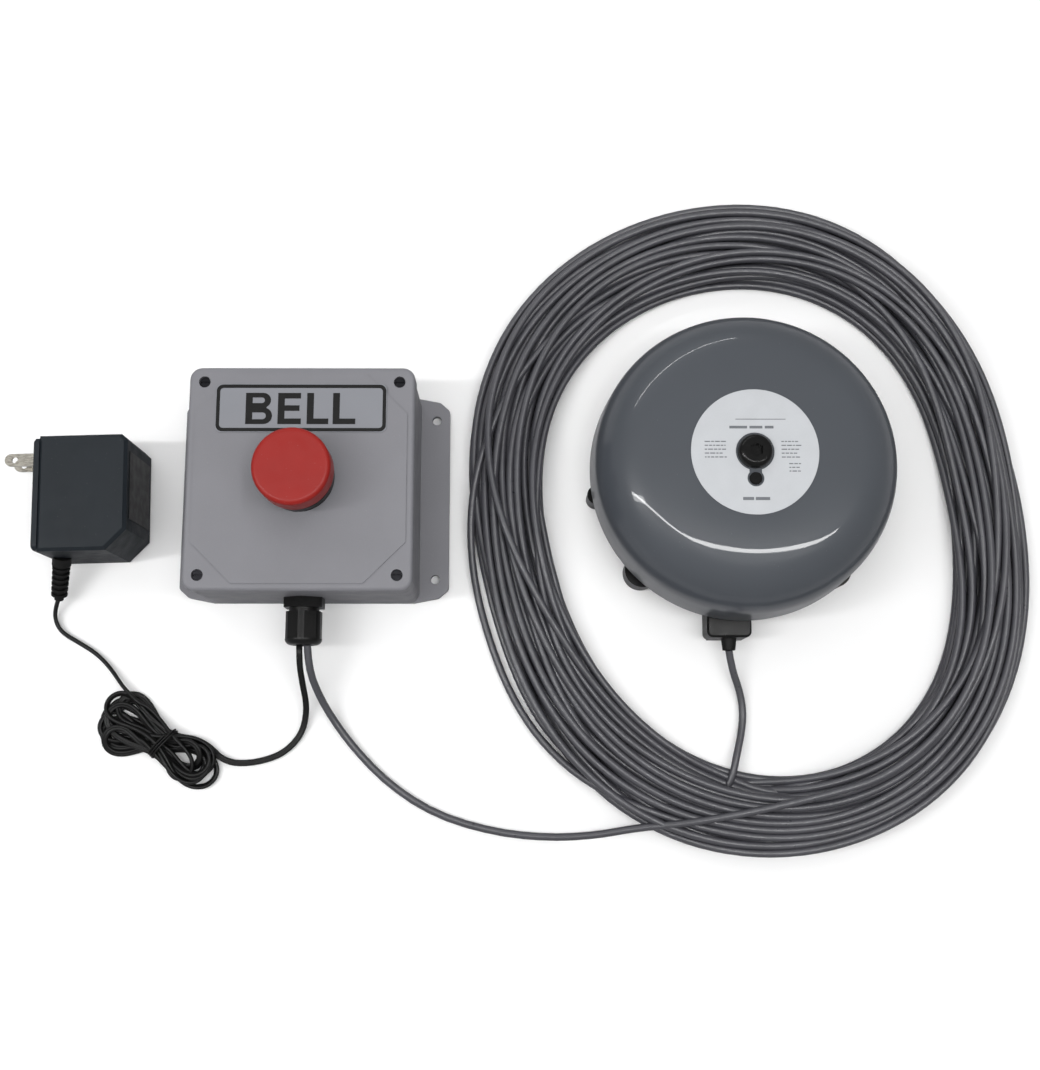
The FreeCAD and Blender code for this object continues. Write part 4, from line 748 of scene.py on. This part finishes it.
def metal(name, colour, rough, stretch=None, line_mm=0.5, depth_mm=0.006, stain=0.12, **sockets):
    """Plated or drawn metal: faint stains, tool lines along one way, uneven gloss."""
    f = Finish(name, Metallic=1.0, **sockets)
    base = f.ramp(
        f.noise(6, 5),
        (0.3, shade(colour, 1 - stain)),
        (0.55, colour),
        (0.75, shade(colour, 1 + stain * 0.6)),
    )
    f.colour(base)
    lines = f.noise(line_mm, 3, stretch)
    f.rough(f.range(lines, rough - 0.08, rough + 0.1))
    f.bump(lines, depth_mm)
    return f


def make_finishes():
    made = {}

    def keep(slot, f):
        made[slot] = f.material

    box = moulded("enclosure_grey", lit(139, 139, 144), 0.5, 0.42, 0.03, 30, 0.045, dust=0.12)
    keep("enclosure_grey", box)
    keep("seal_foam", moulded("seal_foam", lit(46, 46, 48), 0.85, 0.7, 0.16, 8, 0.2))
    keep("black_screw", metal("black_screw", linear(40, 40, 43), 0.36, None, 0.25, 0.01, 0.2))
    keep("insert_brass", metal("insert_brass", linear(196, 164, 92), 0.3, (1, 1, 0.1), 0.3, 0.01))
    keep("legend_plate", moulded("legend_plate", lit(146, 148, 154), 0.42, 0.22, 0.006, 40, 0.03, dust=0.08))
    keep("button_red", moulded("button_red", lit(163, 48, 44), 0.42, 0.3, 0.01, 16, 0.05, dust=0.1))
    keep("operator_black", moulded("operator_black", lit(40, 40, 43), 0.38, 0.4, 0.012, 14, 0.1))
    keep("zinc_steel", metal("zinc_steel", linear(190, 192, 194), 0.3, (1, 0.15, 1), 0.4, 0.006))
    keep("spring_steel", metal("spring_steel", linear(160, 160, 163), 0.28, None, 0.3, 0.004))
    keep("block_plastic", moulded("block_plastic", lit(206, 201, 186), 0.45, 0.4, 0.012, 12, 0.05))
    keep("contact_metal", metal("contact_metal", linear(200, 178, 120), 0.27, (0.1, 1, 1), 0.3, 0.004))
    dark = {"Specular_IOR_Level": 0.22}
    keep("grip_nylon", moulded("grip_nylon", lit(30, 30, 33), 0.34, 0.5, 0.016, 11, 0.14, **dark))
    keep("grip_rubber", moulded("grip_rubber", lit(32, 32, 34), 0.6, 0.35, 0.02, 9, 0.12, **dark))
    keep("splice_orange", moulded("splice_orange", lit(208, 106, 34), 0.42, 0.4, 0.014, 10, 0.06))
    keep("cap_black", moulded("cap_black", lit(26, 26, 29), 0.2, 0.5, 0.006, 9, 0.15, **dark))
    keep("base_black", moulded("base_black", lit(34, 34, 37), 0.32, 0.5, 0.014, 14, 0.12, **dark))
    keep("magnet_iron", metal("magnet_iron", linear(128, 126, 124), 0.42, (1, 1, 0.12), 0.4, 0.01, 0.2))
    keep("bobbin_nylon", moulded("bobbin_nylon", lit(224, 218, 200), 0.42, 0.4, 0.01, 12, 0.04))
    shell = moulded("adapter_shell", lit(50, 54, 58), 0.5, 0.34, 0.035, 20, 0.08, dust=0.06, **dark)
    keep("adapter_shell", shell)
    keep("blade_metal", metal("blade_metal", linear(176, 172, 162), 0.26, (0.12, 1, 1), 0.35, 0.005, 0.1))
    keep("rating_dark", moulded("rating_dark", lit(38, 39, 42), 0.36, 0.25, 0.004, 14, 0.08, **dark))
    keep("gong_enamel", gong_enamel())
    keep("disc_label", disc_label())
    keep("copper_wire", copper_wire())
    keep("cable_grey", cable_jacket("cable_grey", lit(84, 84, 89), 0.34, 0.6))
    keep("cord_black", cable_jacket("cord_black", lit(28, 28, 31), 0.4, 0.25))
    keep("ink_black", moulded("ink_black", lit(30, 30, 33), 0.45, 0.2, 0.004, 9, 0.15, **dark))
    keep("ink_grey", moulded("ink_grey", lit(120, 123, 128), 0.5, 0.2, 0.003, 5, 0.1))
    return made


def gong_enamel():
    """Smooth glossy enamel with the faintest mottling, a little dust and a light orange peel."""
    f = Finish("gong_enamel", Specular_IOR_Level=0.25, Coat_Weight=0.4, Coat_Roughness=0.02)
    colour = lit(92, 96, 102)
    base = f.ramp(f.noise(60, 2), (0.3, shade(colour, 0.95)), (0.5, colour), (0.7, shade(colour, 1.05)))
    fine = f.mix(f.range(f.noise(0.6, 2), 0.0, 0.3, 0.45, 0.8), base, shade(colour, 1.12))
    dust = f.range(f.cells(4.7), 0.25, 0.0, 0.02, 0.05)
    f.colour(f.mix(dust, fine, lit(170, 172, 176)))
    f.rough(f.range(f.noise(20, 3), 0.3, 0.38))
    f.bump(f.noise(1.6, 1), 0.0012)
    return f


def disc_label():
    f = Finish("disc_label", Coat_Weight=0.1, Coat_Roughness=0.3)
    colour = lit(224, 227, 231)
    base = f.ramp(f.noise(9, 5), (0.3, shade(colour, 0.96)), (0.6, colour), (0.8, shade(colour, 1.02)))
    fibre = f.noise(0.35, 2, (1, 0.35, 1))
    f.colour(f.mix(f.range(fibre, 0.0, 0.25, 0.45, 0.8), base, lit(208, 211, 215)))
    f.rough(f.range(f.noise(4, 3), 0.4, 0.52))
    f.bump(f.noise(12, 2), 0.03)
    f.bump(fibre, 0.004)
    return f


def copper_wire():
    f = Finish("copper_wire", Metallic=1.0, Coat_Weight=0.5, Coat_Roughness=0.15)
    wave = f.node("ShaderNodeTexWave", bands_direction="X")
    wave.inputs["Scale"].default_value = 550
    wave.inputs["Distortion"].default_value = 0.6
    f.link(f.place, wave.inputs["Vector"])
    copper = linear(186, 104, 58)
    # painted shade in the grooves between the wire's turns and a painted highlight along each turn's crest,
    # over the copper's own colour
    dark, bright = shade(copper, 0.35), shade(copper, 1.3)
    f.colour(f.ramp(wave.outputs["Fac"], (0.1, dark), (0.5, copper), (1.0, bright)))
    f.rough(f.range(f.noise(2, 3), 0.25, 0.4))
    f.bump(wave.outputs["Fac"], 0.12)
    return f


def cable_jacket(name, colour, rough, gloss):
    """Extruded jacket: soft gloss, scuffs and handling marks."""
    f = Finish(name, Specular_IOR_Level=gloss)
    base = f.ramp(f.noise(18, 5), (0.3, shade(colour, 0.86)), (0.5, colour), (0.72, shade(colour, 1.12)))
    scuff = f.range(f.noise(1.6, 5, None, 0.7), 0.0, 0.4, 0.6, 0.72)
    f.colour(f.mix(scuff, base, shade(colour, 1.55)))
    f.rough(f.range(f.noise(3, 4), rough - 0.07, rough + 0.1))
    f.bump(f.noise(0.8, 3), 0.02)
    f.bump(f.noise(5, 2), 0.05)
    return f


FINISHES = make_finishes()


def finish_piece(piece, material, body="kit", replaces=()):
    piece.data.materials.clear()
    piece.data.materials.append(FINISHES[material])
    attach(piece, body)
    if replaces:
        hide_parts(*replaces)


for node, piece in NODES.items():
    piece.data.materials.clear()
    piece.data.materials.append(FINISHES[SLOT_OF[node]])

BELL_CABLE_NODES = ("bell_cable_station_lead", "bell_cable_coil", "bell_cable_bell_lead")
SUPPLY_CORD_NODES = ("supply_cord_station_lead", "supply_cord_hank", "supply_cord_adapter_lead")
finish_piece(bell_cable, "cable_grey", replaces=BELL_CABLE_NODES)
finish_piece(supply_cord, "cord_black", replaces=SUPPLY_CORD_NODES)
finish_piece(tie, "cord_black", replaces=("supply_cord_tie",))
finish_piece(gong, "gong_enamel", replaces=("gong",))
NODES["gong_locating_pin"].data.materials[0] = FINISHES["cap_black"]


# ---------------------------------------------------------------- printed details


def flat_shape(name, outlines, place, height, thickness):
    """A thin raised shape from closed outlines in millimetres, the later ones cut out of the first."""
    curve = bpy.data.curves.new(name, "CURVE")
    curve.dimensions = "2D"
    curve.fill_mode = "BOTH"
    curve.extrude = thickness * MM / 2
    for outline in outlines:
        spline = curve.splines.new("POLY")
        spline.points.add(len(outline) - 1)
        for point, (x, y) in zip(spline.points, outline):
            point.co = (x * MM, y * MM, 0, 1)
        spline.use_cyclic_u = True
    guide = add_object(name, curve)
    bpy.context.view_layer.update()
    mesh = bpy.data.meshes.new_from_object(guide.evaluated_get(bpy.context.evaluated_depsgraph_get()))
    bpy.data.objects.remove(guide)
    bpy.data.curves.remove(curve)
    mesh.transform(Matrix.Translation((place[0], place[1], height)))
    return add_object(name, mesh)


def arc(x, y, radius, start, end, steps=10):
    """Points along an arc, with angles in degrees."""
    return [
        (x + radius * math.cos(math.radians(a)), y + radius * math.sin(math.radians(a)))
        for a in np.linspace(start, end, steps)
    ]


def rounded_frame(x0, y0, x1, y1, r):
    return (
        arc(x1 - r, y1 - r, r, 0, 90)
        + arc(x0 + r, y1 - r, r, 90, 180)
        + arc(x0 + r, y0 + r, r, 180, 270)
        + arc(x1 - r, y0 + r, r, 270, 360)
    )


LETTER_LOW, LETTER_HIGH = 26.1, 41.7
STROKE, BAR = 3.3, 2.8


def letter_e(x0, x1):
    mid = (LETTER_LOW + LETTER_HIGH) / 2 + 0.2
    y0, y1 = LETTER_LOW, LETTER_HIGH
    return [[
        (x0, y0), (x1, y0), (x1, y0 + BAR), (x0 + STROKE, y0 + BAR), (x0 + STROKE, mid - BAR / 2),
        (x1 - 0.8, mid - BAR / 2), (x1 - 0.8, mid + BAR / 2), (x0 + STROKE, mid + BAR / 2),
        (x0 + STROKE, y1 - BAR), (x1 - 0.2, y1 - BAR), (x1 - 0.2, y1), (x0, y1),
    ]]


def letter_l(x0, x1):
    y0, y1 = LETTER_LOW, LETTER_HIGH
    return [[
        (x0, y0), (x1, y0), (x1, y0 + BAR), (x0 + STROKE, y0 + BAR), (x0 + STROKE, y1), (x0, y1),
    ]]


def letter_b(x0, x1):
    y0, y1 = LETTER_LOW, LETTER_HIGH
    waist = (y0 + y1) / 2 + 0.4
    low_r, high_r = (waist - y0) / 2, (y1 - waist) / 2
    outline = [(x0, y0)] + arc(x1 - low_r, y0 + low_r, low_r, -90, 72)
    outline += arc(x1 - high_r - 0.7, y1 - high_r, high_r, -62, 90) + [(x0, y1)]
    r0, r1 = low_r - BAR + 0.4, high_r - BAR + 0.5
    low_hole = [(x0 + STROKE, y0 + low_r - r0)] + arc(x1 - low_r - 0.6, y0 + low_r, r0, -90, 90, 8)
    low_hole += [(x0 + STROKE, y0 + low_r + r0)]
    high_hole = [(x0 + STROKE, y1 - high_r - r1)] + arc(x1 - high_r - 1.4, y1 - high_r, r1, -90, 90, 8)
    high_hole += [(x0 + STROKE, y1 - high_r + r1)]
    return [outline, low_hole, high_hole]


def add_legend():
    low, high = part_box("legend_label")
    place = ((low.x + high.x) / 2, (low.y + high.y) / 2 - 34.2 * MM)
    top = high.z + 0.02 * MM
    frame_outlines = [
        rounded_frame(-41.2, 22.5, 41.2, 45.9, 3.2),
        rounded_frame(-39.5, 24.2, 39.5, 44.2, 1.8)[::-1],
    ]
    pieces = [
        ("legend_frame", frame_outlines),
        ("legend_letter_b", letter_b(-26.9, -14)),
        ("legend_letter_e", letter_e(-11.3, 0)),
        ("legend_letter_l1", letter_l(2.8, 13.3)),
        ("legend_letter_l2", letter_l(15.4, 26.4)),
    ]
    for name, outlines in pieces:
        finish_piece(flat_shape(name, outlines, place, top, 0.1), "ink_black")


def bar(x, y, width, height):
    return [(x, y), (x + width, y), (x + width, y + height), (x, y + height)]


def print_rows(rng, x0, x1, y_top, rows, pitch, height):
    """Rows of short dashes, where the real label has small print."""
    dashes = []
    for k in range(rows):
        x = x0
        y = y_top - k * pitch
        end = x1 - (x1 - x0) * 0.35 * rng.random()
        while x < end - 0.6:
            width = min(0.8 + 1.9 * rng.random(), end - x)
            dashes.append(bar(x, y, width, height))
            x += width + 0.45
    return dashes


def add_label_print():
    low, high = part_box("gong_label")
    place = ((low.x + high.x) / 2, (low.y + high.y) / 2)
    top = high.z + 0.015 * MM
    rng = np.random.default_rng(8)
    dashes = [
        bar(-9, 15.6, 24, 0.35),
        bar(-12, 11.2, 8.5, 1.3),
        bar(-2.4, 11.2, 6.2, 1.3),
        bar(4.9, 11.2, 4.2, 1.3),
    ]
    dashes += print_rows(rng, -24, -12.4, 4.6, 5, 1.9, 0.5)
    dashes += print_rows(rng, 12.6, 24, 4.6, 5, 1.9, 0.5)
    dashes += print_rows(rng, 16, 22.5, -6.2, 3, 1.8, 0.5)
    dashes += [bar(-6.4, -23.6, 5.2, 1.5), bar(-0.4, -23.6, 6.8, 1.5)]
    finish_piece(flat_shape("label_print", dashes, place, top, 0.06), "ink_grey")


add_legend()
add_label_print()


# ---------------------------------------------------------------- stage


def add_floor():
    bpy.ops.mesh.primitive_plane_add(size=8, location=(0, 0, -0.0003))
    floor = bpy.context.object
    floor.name = "floor"
    paper = Finish("floor_paper", Roughness=0.9)
    base = linear(246, 246, 246)
    white = paper.ramp(paper.noise(400, 2), (0.3, shade(base, 0.985)), (0.7, base))
    # white to look at, but the light that it throws back up is softer
    seen = paper.node("ShaderNodeLightPath").outputs["Is Camera Ray"]
    paper.colour(paper.mix(seen, linear(186, 186, 188), white))
    floor.data.materials.append(paper.material)
    return floor


def area_light(name, place, aim, size, power):
    data = bpy.data.lights.new(name, "AREA")
    data.shape = "RECTANGLE"
    data.size, data.size_y = size
    data.energy = power
    lamp = add_object(name, data)
    lamp.location = place
    lamp.rotation_euler = (Vector(aim) - Vector(place)).to_track_quat("-Z", "Y").to_euler()
    return lamp


def light_all_but(lamp, *objects):
    """Keeps a lamp's light off these objects."""
    left_out = bpy.data.collections.new(lamp.name + "_left_out")
    for item in objects:
        left_out.objects.link(item)
    lamp.light_linking.receiver_collection = left_out
    for entry in left_out.collection_objects:
        entry.light_linking.link_state = "EXCLUDE"


def add_world():
    """A white room, brighter overhead than at the sides."""
    world = bpy.data.worlds.new("studio")
    world.use_nodes = True
    nodes, links = world.node_tree.nodes, world.node_tree.links
    way = nodes.new("ShaderNodeSeparateXYZ")
    links.new(nodes.new("ShaderNodeTexCoord").outputs["Generated"], way.inputs["Vector"])
    glow = nodes.new("ShaderNodeMapRange")
    glow.inputs["To Min"].default_value = 0.4
    glow.inputs["To Max"].default_value = 0.64
    links.new(way.outputs["Z"], glow.inputs["Value"])
    links.new(glow.outputs["Result"], nodes["Background"].inputs["Strength"])
    nodes["Background"].inputs["Color"].default_value = (1, 1, 1, 1)
    bpy.context.scene.world = world


def add_lights(floor):
    bpy.context.scene.view_settings.view_transform = "Standard"
    overhead = area_light("overhead", (0.0, 0.0, 1.6), (0, 0, 0), (2.2, 2.2), 5)
    overhead.visible_glossy = False
    area_light("front_strip", (-0.25, -0.17, 1.2), (-0.25, -0.17, 0), (2.25, 0.042), 10)
    area_light("left_strip", (-0.84, -0.17, 1.1), (0.1, -0.02, 0.065), (0.09, 0.5), 2.5)
    area_light("back_strip", (-0.52, 1.71, 1.2), (0.12, 0.05, 0.05), (1.95, 0.03), 7)
    rail = area_light("rail", (0.36, 0.18, 1.2), (0.36, 0.18, 0), (0.09, 1.1), 4)
    on_gong = [NODES[name] for name in ("gong_label", "gong_screw", "gong_locating_pin")]
    light_all_but(rail, gong, *on_gong, floor)


stage_floor = add_floor()
add_world()
add_lights(stage_floor)


def write_sizes():
    import json


write_sizes()
